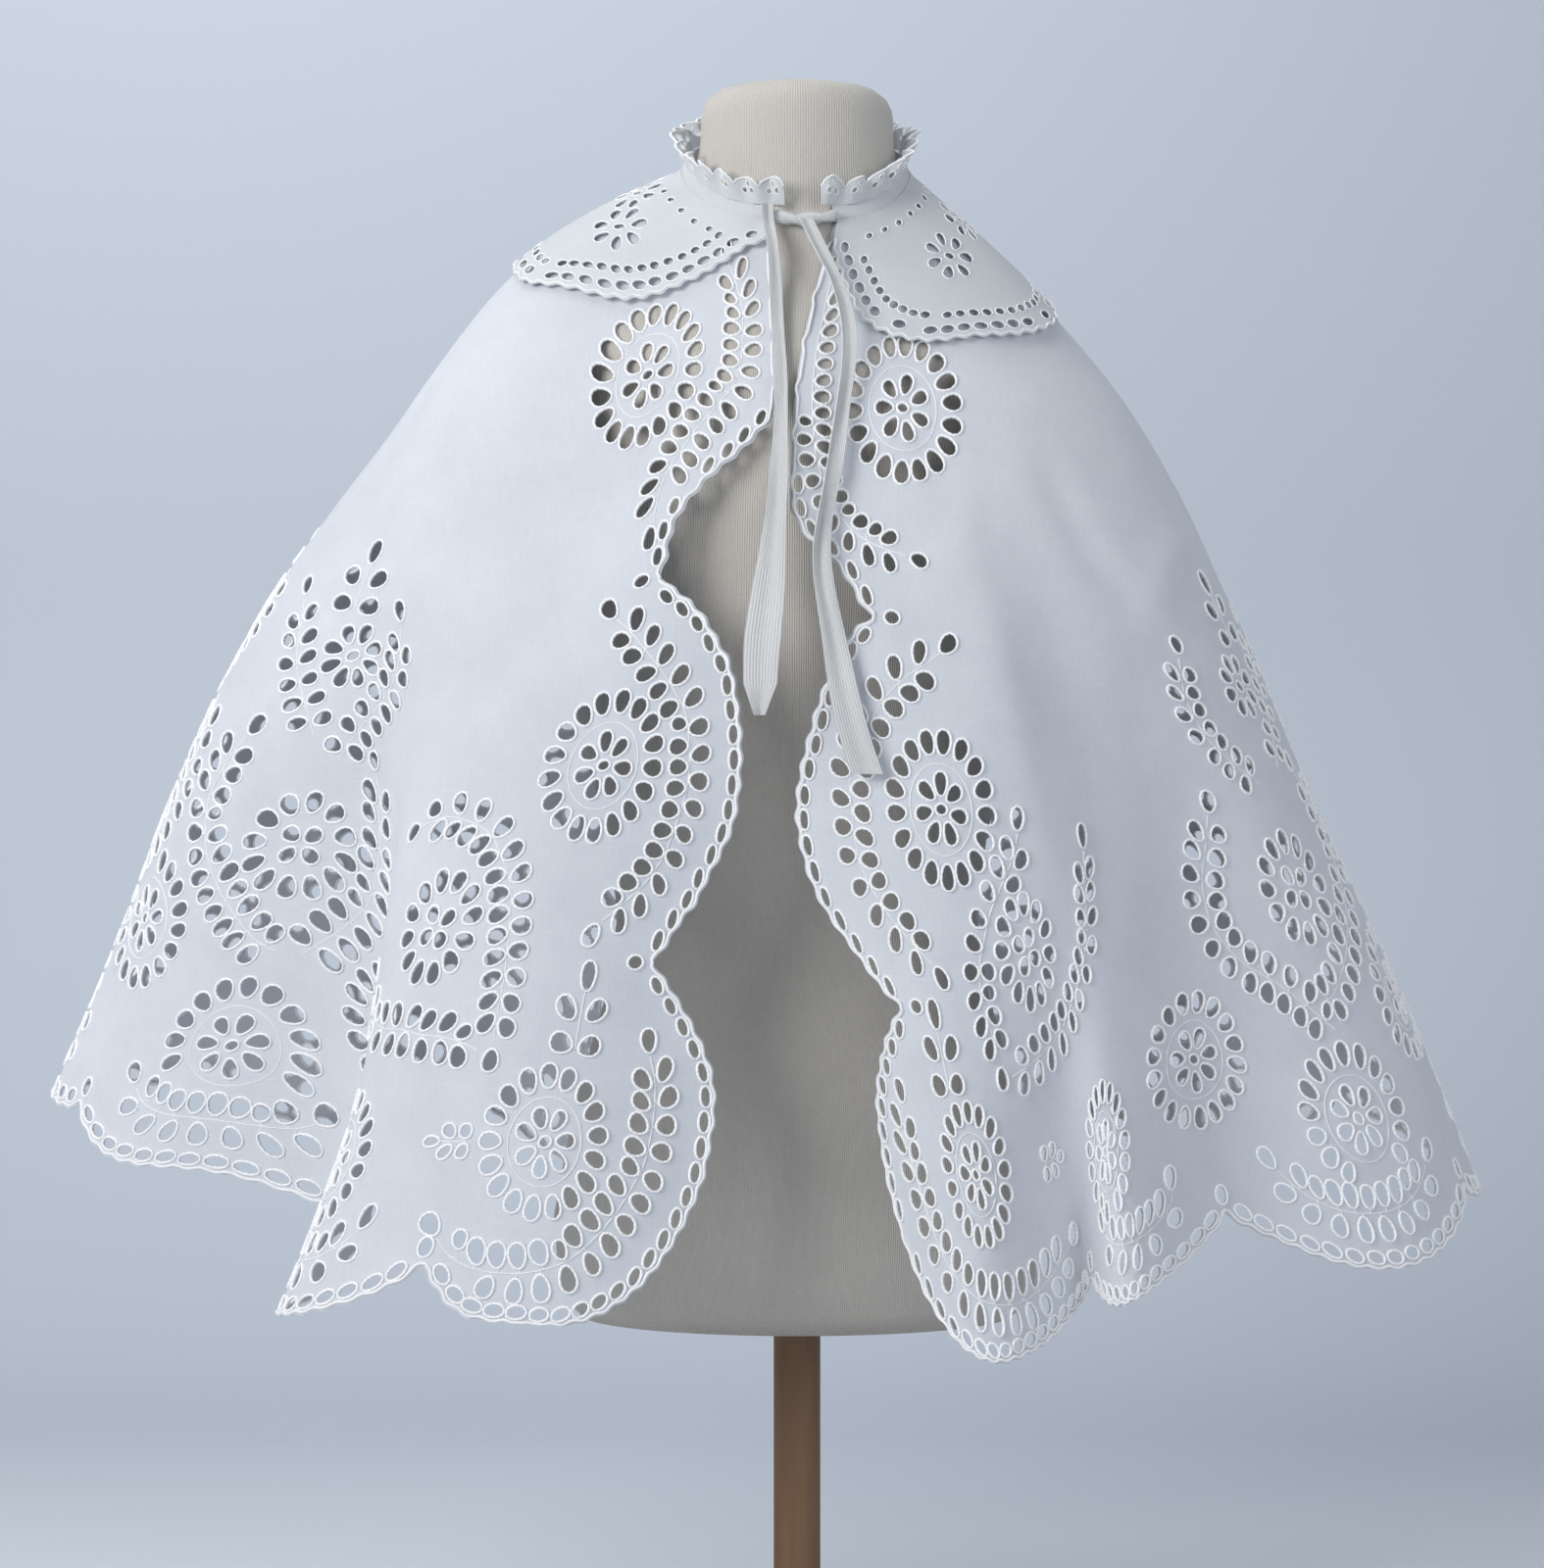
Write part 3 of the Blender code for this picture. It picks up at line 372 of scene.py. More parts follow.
def beside(x: float, y: float, points: Sequence[tuple[float, float]]) -> np.ndarray:
    """Turn points given round a motif into flat points.

    Args:
        x: The motif's x.
        y: The motif's y.
        points: Distances away from the front and up toward the neck.

    Returns:
        The flat points.
    """
    turn = math.atan2(x, y)
    away = np.array([math.cos(turn), -math.sin(turn)])
    up = np.array([-math.sin(turn), -math.cos(turn)])
    return np.array([[x, y] + a * away + b * up for a, b in points])


def narrowness(side: Side, x: float | np.ndarray, y: float | np.ndarray) -> np.ndarray:
    """How narrow the embroidery is worked round the body at a place.

    Args:
        side: The half.
        x: The place's x on the flat cloth.
        y: Its y.

    Returns:
        Its width against its height.
    """
    steps = np.arctan2(x, y) / HALF_ANGLE * STEPS_PER_HALF
    left = side is Side.LEFT
    panel = np.interp(np.hypot(x, y), *(LEFT_NARROW if left else RIGHT_NARROW))
    start, stop, wing = LEFT_WIDENS if left else RIGHT_WIDENS
    t = np.clip((steps - start) / (stop - start), 0, 1)
    wing = np.where(steps > 3.6, 1.0, wing)
    return panel + (wing - panel) * t * t * (3 - 2 * t)


def narrowed(x: float | np.ndarray, y: float | np.ndarray, offset: np.ndarray,
             narrow: float | np.ndarray) -> np.ndarray:
    """Narrow an offset round the body.

    Args:
        x: The place's x on the flat cloth.
        y: Its y.
        offset: The offset, one row or several.
        narrow: How narrow.

    Returns:
        The offset as worked.
    """
    turn = np.arctan2(x, y)
    arc = np.stack([np.cos(turn), -np.sin(turn)], axis=-1)
    along = (offset * arc).sum(axis=-1, keepdims=True)
    shape = np.shape(narrow) + (1,) if np.ndim(narrow) else ()
    return offset - along * arc * np.reshape(1 - np.asarray(narrow), shape)


@dataclass(frozen=True)
class Crease:
    """A crease or ridge laid on the flat cloth.

    Points are (steps from the front edge, radius); height is out from the wearer.
    """

    points: tuple[tuple[float, float], ...]
    height: float
    width: float


LEFT_CREASES = (
    Crease(((0.9, 0.21), (1.2, 0.30), (1.5, 0.40), (1.75, 0.52)), -0.0016, 0.013),
    Crease(((3.3, 0.20), (3.0, 0.28), (2.8, 0.36)), 0.0015, 0.012),
    Crease(((0.35, 0.62), (0.9, 0.615), (1.35, 0.625)), 0.0007, 0.005),
    Crease(((2.3, 0.70), (2.7, 0.692), (3.1, 0.70)), 0.0010, 0.006),
    Crease(((4.6, 0.24), (4.9, 0.36), (5.0, 0.50)), -0.0020, 0.016),
    Crease(((5.9, 0.22), (6.1, 0.34), (6.0, 0.46), (5.8, 0.55)), 0.0018, 0.012),
    Crease(((6.6, 0.30), (7.0, 0.36), (7.3, 0.47)), -0.0014, 0.010),
)
RIGHT_CREASES = (
    Crease(((0.8, 0.20), (1.0, 0.29), (1.05, 0.38), (1.0, 0.46)), 0.0016, 0.011),
    Crease(((1.25, 0.30), (1.24, 0.362), (1.20, 0.403), (1.18, 0.446), (1.18, 0.50)), 0.0028, 0.009),
    Crease(((2.12, 0.285), (2.07, 0.339), (2.12, 0.368), (2.30, 0.390)), -0.0030, 0.010),
    Crease(((1.70, 0.31), (1.62, 0.38), (1.55, 0.45), (1.50, 0.53)), -0.0030, 0.015),
    Crease(((3.24, 0.350), (2.75, 0.362), (2.45, 0.378), (2.24, 0.400)), 0.0034, 0.010),
    Crease(((1.5, 0.26), (1.35, 0.31), (1.1, 0.34)), 0.0012, 0.007),
    Crease(((4.3, 0.22), (4.5, 0.34), (4.4, 0.48)), -0.0018, 0.014),
    Crease(((5.4, 0.25), (5.2, 0.38), (5.3, 0.50), (5.5, 0.60)), 0.0020, 0.013),
    Crease(((6.8, 0.26), (6.6, 0.37), (6.9, 0.50)), 0.0012, 0.010),
)


class Drape:
    """The worn cape's middle surface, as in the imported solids."""

    columns = 721
    rows = 241

    def __init__(self) -> None:
        """Lay out the surface on a fine grid."""
        self.w = np.linspace(-1, 1, self.columns)
        self.v = np.linspace(0, 1, self.rows)
        folds = [(-1 + f[0] / STEPS_PER_HALF, f[1:]) for f in LEFT_FOLDS] + [(0.0, CENTRE_BACK[1:])]
        folds += [(1 - f[0] / STEPS_PER_HALF, f[1:]) for f in RIGHT_FOLDS][::-1]
        rows = spline(self.w, np.array([w for w, _ in folds]), np.array([f for _, f in folds]))
        levels = np.array([ring[0] for ring in UPPER_RINGS] + [WAIST_LEVEL, LOW_LEVEL, HEM_LEVEL])
        rings = [self.upper_ring(*ring[1:]) for ring in UPPER_RINGS]
        rings += [rows[:, 0:2], rows[:, 2:4], rows[:, 4:6]]
        plan = spline(self.v, levels, np.stack(rings))
        self.points = self.hang(plan, rows[:, 6])
        self.normals = self.face_outward()

    def upper_ring(self, left: float, right: float, front: float, back: float, gap_left: float,
                   gap_right: float) -> np.ndarray:
        """Points of an upper section, evenly spaced along each half.

        Args:
            left: Half width on the left.
            right: Half width on the right.
            front: Depth in front.
            back: Depth behind.
            gap_left: Where the left front edge is.
            gap_right: Where the right front edge is.

        Returns:
            One plan point for each column.
        """
        start = -np.pi + np.arcsin(-gap_left / left)
        stop = np.pi - np.arcsin(gap_right / right)
        turn = np.concatenate([np.linspace(start, 0, 1000), np.linspace(0, stop, 1000)[1:]])
        x = np.sin(turn) * np.where(turn < 0, left, right)
        y = np.cos(turn) * np.where(np.cos(turn) > 0, back, front)
        run = np.concatenate([[0], np.cumsum(np.hypot(np.diff(x), np.diff(y)))])
        middle = run[999]
        along = np.where(self.w < 0, middle * (1 + self.w), middle + (run[-1] - middle) * self.w)
        return np.stack([np.interp(along, run, x), np.interp(along, run, y)], axis=1)

    def hang(self, plan: np.ndarray, longer: np.ndarray) -> np.ndarray:
        """Give each column its heights: it falls by what its length leaves over.

        Args:
            plan: Plan points of the grid.
            longer: Extra length of each column.

        Returns:
            The grid's points.
        """
        facing = np.cos(np.pi * self.w)
        toward_front, toward_back = np.maximum(-facing, 0), np.maximum(facing, 0)
        length = (LENGTH_SIDE + (LENGTH_FRONT - LENGTH_SIDE) * toward_front ** 2
                  + (LENGTH_BACK - LENGTH_SIDE) * toward_back ** 2 + longer)
        neck = (NECK_Z_SIDE + (NECK_Z_FRONT - NECK_Z_SIDE) * toward_front ** 1.3
                + (NECK_Z_BACK - NECK_Z_SIDE) * toward_back)
        step = length / (self.rows - 1)
        run = np.linalg.norm(np.diff(plan, axis=0), axis=2)
        fall = np.sqrt(np.maximum(step ** 2 - run ** 2, (0.15 * step) ** 2))
        z = neck - np.concatenate([np.zeros((1, self.columns)), np.cumsum(fall, axis=0)])
        return np.concatenate([plan, z[..., None]], axis=2)

    def face_outward(self) -> np.ndarray:
        """Unit normals away from the wearer.

        Returns:
            One normal for each point of the grid.
        """
        normal = np.cross(np.gradient(self.points, axis=1), np.gradient(self.points, axis=0))
        return normal / np.linalg.norm(normal, axis=2, keepdims=True)

    def sample(self, grid: np.ndarray, w: np.ndarray, v: np.ndarray) -> np.ndarray:
        """Values of a grid between its points.

        Args:
            grid: The grid.
            w: Places round the cape, -1 to 1.
            v: Places down the cape, 0 to 1.

        Returns:
            One row of values for each place.
        """
        column = np.clip((w + 1) / 2, 0, 1) * (self.columns - 1)
        row = np.clip(v, 0, 1) * (self.rows - 1)
        i = np.minimum(row.astype(int), self.rows - 2)
        j = np.minimum(column.astype(int), self.columns - 2)
        s, t = (row - i)[:, None], (column - j)[:, None]
        upper = grid[i, j] * (1 - t) + grid[i, j + 1] * t
        lower = grid[i + 1, j] * (1 - t) + grid[i + 1, j + 1] * t
        return upper * (1 - s) + lower * s

    def at(self, w: np.ndarray, v: np.ndarray, lift: float | np.ndarray = 0.0) -> np.ndarray:
        """Points of the surface, moved out along its normals.

        Args:
            w: Places round the cape.
            v: Places down the cape.
            lift: Distance out.

        Returns:
            The points.
        """
        normal = self.sample(self.normals, w, v)
        normal /= np.linalg.norm(normal, axis=1, keepdims=True)
        out = np.broadcast_to(lift, len(normal))[:, None]
        return self.sample(self.points, w, v) + normal * out

    def lay(self, flat: np.ndarray, side: Side,
            lift: float | np.ndarray = 0.0) -> tuple[np.ndarray, np.ndarray]:
        """Lay flat points on the worn surface, creases included.

        Args:
            flat: Points of the flat cloth.
            side: The half.
            lift: Distance out from the middle surface.

        Returns:
            The points and their outward normals.
        """
        turn, radius = np.arctan2(flat[:, 0], flat[:, 1]), np.hypot(flat[:, 0], flat[:, 1])
        w, v = side.value * (1 - turn / HALF_ANGLE), (radius - NECK_RADIUS) / LENGTH
        normal = self.sample(self.normals, w, v)
        normal /= np.linalg.norm(normal, axis=1, keepdims=True)
        out = np.broadcast_to(lift, len(flat)) + self.relief(flat, side, v)
        return self.sample(self.points, w, v) + normal * out[:, None], normal

    def relief(self, flat: np.ndarray, side: Side, v: np.ndarray) -> np.ndarray:
        """How far creases and the cloth's own unevenness stand out.

        Args:
            flat: Points of the flat cloth.
            side: The half.
            v: Their levels.

        Returns:
            Distances out, none of them inward where the cloth rests on the form.
        """
        x, y = flat[:, 0], flat[:, 1]
        shift = 0.0 if side is Side.LEFT else 1.7
        out = 0.0005 * np.sin(31 * x + 17 * y + shift) * np.sin(23 * y - 19 * x + 2 * shift)
        out += 0.0003 * np.sin(83 * x - 41 * y + shift) * np.sin(67 * y + 29 * x)
        for crease in LEFT_CREASES if side is Side.LEFT else RIGHT_CREASES:
            line = resample(smooth([at_step(*point) for point in crease.points], 80), 0.004)
            away = np.hypot(x[:, None] - line[:, 0], y[:, None] - line[:, 1])
            nearest = away.argmin(axis=1)
            share = nearest / (len(line) - 1)
            taper = np.sin(np.pi * np.clip(share, 0.03, 0.97)) ** 0.7
            out += crease.height * taper * np.exp(-(away.min(axis=1) / crease.width) ** 2)
        held = np.clip((v - 0.10) / 0.12, 0, 1)
        to_seam = np.hypot(x, y) * (HALF_ANGLE - np.arctan2(x, y))
        return out * held * np.clip(to_seam / 0.030, 0, 1)


@dataclass(frozen=True)
class Eyelet:
    """One hole with its stitched rim: an oval or a teardrop.

    turn is the direction of its length. tip above 0 makes its far end the wider one.
    """

    x: float
    y: float
    turn: float
    length: float
    width: float
    tip: float = 0.0
    narrow: float = 1.0

    def outline(self, count: int, grow: float = 0.0) -> np.ndarray:
        """Points round the hole.

        Args:
            count: How many points.
            grow: How far outside the hole they are.

        Returns:
            The points on the flat cloth.
        """
        t = 2 * np.pi * (np.arange(count) + 0.5) / count
        along = -self.length / 2 * np.cos(t)
        across = self.width / 2 * (1 - self.tip * np.cos(t)) * np.sin(t)
        c, s = math.cos(self.turn), math.sin(self.turn)
        around = np.stack([along * c - across * s, along * s + across * c], axis=1)
        around = narrowed(self.x, self.y, around, self.narrow)
        if grow:
            step = np.roll(around, -1, axis=0) - np.roll(around, 1, axis=0)
            out = np.stack([step[:, 1], -step[:, 0]], axis=1) / np.linalg.norm(step, axis=1, keepdims=True)
            around = around + out * grow * np.sign((out * around).sum())
        return around + [self.x, self.y]


class Embroidery:
    """Eyelets and stems worked on one piece of cloth, kept clear of each other and of its edge."""

    def __init__(self, edge: np.ndarray, seed: int, side: Side | None = None) -> None:
        """Start with an empty cloth.

        Args:
            edge: Points along the cloth's edge.
            seed: Seed for the small differences between eyelets.
            side: The half, where the work is narrower on the panels than on the wings.
        """
        self.edge = edge
        self.side = side
        self.eyelets: list[Eyelet] = []
        self.stems: list[np.ndarray] = []
        self.taken = np.zeros((0, 2))
        self.chance = np.random.default_rng(seed)

    def narrow(self, x: float, y: float) -> float:
        """How narrow the work is at a place.

        Args:
            x: The place's x.
            y: Its y.

        Returns:
            Its width against its height.
        """
        return 1.0 if self.side is None else float(narrowness(self.side, x, y))

    def shifted(self, x: float, y: float, offset: Sequence[float], narrow: float | None = None) -> np.ndarray:
        """A place beside another, as worked.

        Args:
            x: The place's x.
            y: Its y.
            offset: How far beside it.
            narrow: How narrow the work is, if not as at the place.

        Returns:
            The new place.
        """
        narrow = self.narrow(x, y) if narrow is None else narrow
        return np.array([x, y]) + narrowed(x, y, np.asarray(offset, float), narrow)

    def fit(self, eyelet: Eyelet, keep: float = 0.0023) -> bool:
        """Work an eyelet, a little smaller or to one side where room is short.

        Args:
            eyelet: The eyelet.
            keep: Least distance to another hole.

        Returns:
            Whether it was worked.
        """
        along = np.array([math.cos(eyelet.turn), math.sin(eyelet.turn)])
        for size, push in ((1.0, 0.0), (0.92, 0.0), (0.88, 0.0012), (0.88, -0.0012), (0.78, 0.0),
                           (0.76, 0.002),
                           (0.76, -0.002)):
            x, y = self.shifted(eyelet.x, eyelet.y, along * push)
            if self.add(replace(eyelet, x=x, y=y, length=eyelet.length * size, width=eyelet.width * size),
                        keep):
                return True
        return False

    def add(self, eyelet: Eyelet, keep: float = 0.0023, edge: float = 0.003) -> bool:
        """Work an eyelet if there is room for it.

        Args:
            eyelet: The eyelet.
            keep: Least distance to another hole.
            edge: Least distance to the edge.

        Returns:
            Whether it was worked.
        """
        if self.side is not None:
            eyelet = replace(eyelet, narrow=self.narrow(eyelet.x, eyelet.y))
        points = eyelet.outline(12)
        middle = np.array([eyelet.x, eyelet.y])
        away = np.linalg.norm(self.taken - middle, axis=1)
        near = self.taken[away < 0.022]
        if len(near):
            gap = np.linalg.norm(near[:, None] - points[None], axis=2).min()
            if gap < keep or away.min() < 0.3 * eyelet.width:
                return False
        close = self.edge[np.linalg.norm(self.edge - middle, axis=1) < 0.03]
        if len(close) and np.linalg.norm(close[:, None] - points[None], axis=2).min() < edge:
            return False
        self.eyelets.append(eyelet)
        self.taken = np.concatenate([self.taken, points])
        return True

    def vary(self, eyelet: Eyelet, turn: float = 0.10, size: float = 0.07) -> Eyelet:
        """The same eyelet as a hand would repeat it.

        Args:
            eyelet: The eyelet.
            turn: Most that it turns, in radians.
            size: Most that its size differs, as a share.

        Returns:
            The eyelet worked.
        """
        draw = self.chance.uniform
        return Eyelet(eyelet.x + 0.0003 * draw(-1, 1), eyelet.y + 0.0003 * draw(-1, 1),
                      eyelet.turn + turn * draw(-1, 1), eyelet.length * (1 + size * draw(-1, 1)),
                      eyelet.width * (1 + size * draw(-1, 1)), eyelet.tip)

    def ring(self, x: float, y: float, start: float, count: int, radius: float, length: float,
             width: float, tip: float) -> None:
        """A ring of petals.

        Args:
            x: Its centre's x.
            y: Its centre's y.
            start: Direction of the first petal.
            count: How many petals.
            radius: Distance of the petals from the centre.
            length: A petal's length.
            width: A petal's width.
            tip: How much wider a petal's outer end is.
        """
        narrow = self.narrow(x, y)
        for i in range(count):
            a = start + 2 * np.pi * i / count
            spot = self.shifted(x, y, (radius * math.cos(a), radius * math.sin(a)), narrow)
            self.fit(self.vary(Eyelet(*spot, a, length, width, tip)), 0.0020)

    def wheel(self, x: float, y: float, turn: float = 0.0, size: float = 1.0, count: int = 17) -> None:
        """A wheel: seven petals, a stitched circle and a ring of outer petals.

        Args:
            x: Its centre's x.
            y: Its centre's y.
            turn: How far it is turned.
            size: Its size against the usual one.
            count: How many outer petals.
        """
        self.add(Eyelet(x, y, turn, 0.0056 * size, 0.0040 * size))
        self.ring(x, y, turn + 0.2, 7, 0.0125 * size, 0.0102 * size, 0.0062 * size, 0.35)
        self.ring(x, y, turn, count, 0.0328 * size, 0.0112 * size, 0.0076 * size, 0.22)
        around = np.linspace(0, 2 * np.pi, 60)
        circle = 0.0222 * size * np.stack([np.cos(around), np.sin(around)], axis=1)
        self.stems.append(np.array([x, y]) + narrowed(x, y, circle, self.narrow(x, y)))

    def flower(self, x: float, y: float) -> None:
        """A flower: four petals inside twelve.

        Args:
            x: Its centre's x.
            y: Its centre's y.
        """
        self.ring(x, y, 0.4, 4, 0.0078, 0.0086, 0.0066, 0.25)
        self.ring(x, y, 0.0, 12, 0.0238, 0.0112, 0.0074, 0.25)

    def star(self, x: float, y: float, turn: float = 0.0, size: float = 1.0, count: int = 8) -> None:
        """A small flower of petals round an oval.

        Args:
            x: Its centre's x.
            y: Its centre's y.
            turn: How far it is turned.
            size: Its size against the usual one.
            count: How many petals.
        """
        self.add(Eyelet(x, y, turn, 0.0062 * size, 0.0040 * size), keep=0.0016)
        self.ring(x, y, turn, count, 0.0122 * size, 0.0094 * size, 0.0058 * size, 0.35)

    def sprig(self, x: float, y: float, size: float = 1.0, lean: float = 0.0) -> None:
        """Five leaves that point up toward the neck, or to one side.

        Args:
            x: Its middle's x.
            y: Its middle's y.
            size: Its size against the usual one.
            lean: How far it is turned from the neck's direction.
        """
        up = math.atan2(-y, -x) + lean
        c, s = math.cos(up), math.sin(up)
        for along, across, open_out, length, width in (
                (0.017, 0.0, 0.0, 0.0118, 0.0062), (0.003, 0.0080, 0.75, 0.0106, 0.0074),
                (0.003, -0.0080, -0.75, 0.0106, 0.0074), (-0.012, 0.0078, 1.3, 0.0098, 0.0076),
                (-0.012, -0.0078, -1.3, 0.0098, 0.0076)):
            spot = self.shifted(x, y, (size * (along * c - across * s), size * (along * s + across * c)))
            self.fit(self.vary(Eyelet(*spot, up + open_out, length * size, width * size, 0.2)))
        self.stems.append(np.array([self.shifted(x, y, (size * a * c, size * a * s))
                                    for a in (-0.014, 0.010)]))

    def ease(self, path: np.ndarray, tangent: np.ndarray) -> np.ndarray:
        """How close the work is along a path.

        Args:
            path: The path.
            tangent: Its directions.

        Returns:
            For each point, the length of a unit step as worked.
        """
        if self.side is None:
            return np.ones(len(path))
        narrow = narrowness(self.side, path[:, 0], path[:, 1])
        return np.linalg.norm(narrowed(path[:, 0], path[:, 1], tangent, narrow), axis=1)

    def spray(self, path: np.ndarray, outer: int, pitches: tuple[float, float] = (0.0146, 0.0124),
              offset: float = 0.0086, length: float = 0.0112, width: float = 0.0078,
              free: tuple[bool, bool] = (True, True)) -> None:
        """A stem with a row of leaves on each side.

        Args:
            path: The stem.
            outer: Which side of the stem has the wider pitch.
            pitches: Distance between leaves on that side and on the other.
            offset: Distance of the leaves from the stem.
            length: A leaf's length.
            width: A leaf's width.
            free: Whether the stem's start and its end are free, with a leaf at the tip.
        """
        path = resample(path, FINE_STEP)
        tangent = np.gradient(path, axis=0)
        tangent /= np.linalg.norm(tangent, axis=1, keepdims=True)
        normal = np.stack([-tangent[:, 1], tangent[:, 0]], axis=1)
        total = FINE_STEP * (len(path) - 1)
        for sign, pitch, start in ((outer, pitches[0], 0.008), (-outer, pitches[1], 0.011)):
            ease = np.sqrt(self.ease(path, tangent))
            measured = np.concatenate([[0], np.cumsum(FINE_STEP / ease[1:])])
            first, last = np.interp([start, total - start], FINE_STEP * np.arange(len(path)), measured)
            count = max(1, int(round((last - first) / pitch)))
            for i in range(count + 1):
                run = float(np.interp(first + (last - first) * i / count, measured,
                                      FINE_STEP * np.arange(len(path))))
                k = min(int(run / FINE_STEP), len(path) - 1)
                near = min(total - run if free[1] else 9, run if free[0] else 9)
                lean = 0.95 * max(0.0, 1 - near / 0.045) + 0.12
                along = tangent[k] * (1 if total - run < run else -1)
                if not free[1]:
                    along = -tangent[k]
                if not free[0]:
                    along = tangent[k]
                out = normal[k] * sign
                point = out * math.cos(lean) + along * math.sin(lean)
                spot = self.shifted(*path[k], out * offset * (1 - 0.12 * (lean > 0.7)))
                if self.fit(self.vary(Eyelet(*spot, math.atan2(point[1], point[0]), length, width, 0.22))):
                    foot = self.shifted(*spot, -point * (length / 2 + 0.0012))
                    self.stems.append(np.stack([path[k] - along * 0.0012, (path[k] + foot) / 2, foot]))
        for is_free, k, sign in ((free[0], 0, -1), (free[1], len(path) - 1, 1)):
            if is_free:
                point = tangent[k] * sign
                spot = self.shifted(*path[k], point * 0.008)
                self.fit(self.vary(Eyelet(*spot, math.atan2(point[1], point[0]), length, width, 0.22)))
        self.stems.append(path[::5])


@dataclass
class CutEdge:
    """A scalloped edge on the flat cloth: its runs between notches, and the row of eyelets inside it."""

    runs: list[np.ndarray]
    side: Side | None = None
    pitch: float = 0.0140
    inset: float = 0.0058
    bulge: float = 0.0014
    starts: list[float] = field(default_factory=list)
    stops: list[float] = field(default_factory=list)

    def measured(self, k: int) -> np.ndarray:
        """Distances along a run as the work counts them, longer where it is narrower.

        Args:
            k: The run.

        Returns:
            One distance for each point.
        """
        run = self.runs[k]
        if self.side is None:
            return FINE_STEP * np.arange(len(run))
        tangent = np.gradient(run, axis=0)
        tangent /= np.linalg.norm(tangent, axis=1, keepdims=True)
        narrow = narrowness(self.side, run[:, 0], run[:, 1])
        ease = np.linalg.norm(narrowed(run[:, 0], run[:, 1], tangent, narrow), axis=1)
        return np.concatenate([[0], np.cumsum(FINE_STEP / ease[1:])])

    def places(self, k: int) -> np.ndarray:
        """Where the eyelets of a run are.

        Args:
            k: The run.

        Returns:
            Distances along the run, as measured() counts them.
        """
        total = self.measured(k)[-1]
        count = int(round((total - self.starts[k] - self.stops[k]) / self.pitch))
        return np.linspace(self.starts[k], total - self.stops[k], count + 1)

    def wavy(self, k: int, inset: float = 0.0) -> np.ndarray:
        """A run as it is worked, with a small bulge at each eyelet.

        Args:
            k: The run.
            inset: How far inside the edge the line lies.

        Returns:
            Points 2 mm apart.
        """
        run = self.runs[k]
        at = FINE_STEP * np.arange(len(run))
        places = self.places(k)
        gap = np.abs(self.measured(k)[:, None] - places).min(axis=1)
        swell = self.bulge * np.clip(np.cos(np.pi * gap / self.pitch), 0, 1) ** 2 if len(places) else 0 * at
        ease = np.minimum(at, at[-1] - at) / max(inset, 1e-9)
        share = ease if 0 < k else (at[-1] - at) / max(inset, 1e-9)
        depth = inset * np.clip(share, 0, 1)
        return resample(run + inward_of(run) * (depth - swell)[:, None], 0.0020)

    def joined(self, inset: float = 0.0) -> np.ndarray:
        """All the runs as they are worked, as one line.

        Args:
            inset: How far inside the edge the line lies.

        Returns:
            Its points.
        """
        first = self.wavy(0, inset)
        return np.concatenate([first] + [self.wavy(k, inset)[1:] for k in range(1, len(self.runs))])

    def row(self, work: Embroidery, length: float, width: float, lean: float) -> None:
        """Work the row of eyelets along the edge.

        Args:
            work: The embroidery to add to.
            length: An eyelet's length.
            width: An eyelet's width.
            lean: How far each leans from the edge's direction.
        """
        for k, run in enumerate(self.runs):
            inward, measured = inward_of(run), self.measured(k)
            for place in self.places(k):
                j = min(int(np.searchsorted(measured, place)), len(run) - 1)
                spot = work.shifted(*run[j], inward[j] * self.inset)
                turn = math.atan2(inward[j][0], -inward[j][1]) + lean
                work.add(work.vary(Eyelet(*spot, turn, length, width), 0.08, 0.06), keep=0.0018, edge=0.0024)


def cape_edge(side: Side) -> CutEdge:
    """The scalloped edge of one half, from the neck down the front and along the hem.

    Args:
        side: The half.

    Returns:
        The edge.
    """
    tables = LEFT_RUNS if side is Side.LEFT else RIGHT_RUNS
    runs = []
    for table in tables:
        flat = [flat_point(e / 1000, r / 1000) for e, r in table]
        runs.append(resample(smooth(flat, 60 * len(flat)), FINE_STEP))
    notches = LEFT_NOTCHES if side is Side.LEFT else RIGHT_NOTCHES
    ends = list(notches) + [2 * STEPS_PER_HALF - notches[-1]]
    for i, (start, stop) in enumerate(zip(ends, ends[1:])):
        share = (1 - np.cos(np.linspace(0, np.pi, 1500))) / 2
        last = tables[-1][-1][1] / 1000
        deep = np.where((share < 0.5) & (i == 0), HEM_RADIUS - last, HEM_SCALLOP_DEPTH)
        radius = HEM_RADIUS - deep * (1 - np.sin(np.pi * share) ** 0.62)
        turn = (start + (stop - start) * share) / STEPS_PER_HALF * HALF_ANGLE
        keep = turn <= HALF_ANGLE - 0.0005
        flat = np.stack([radius * np.sin(turn), radius * np.cos(turn)], axis=1)[keep]
        runs.append(resample(flat, FINE_STEP))
    count = len(runs)
    plain = 0.113 if side is Side.LEFT else 0.146
    return CutEdge(runs, side, starts=[plain] + [0.0115] * (count - 1),
                   stops=[0.0115] * (count - 1) + [0.0060])


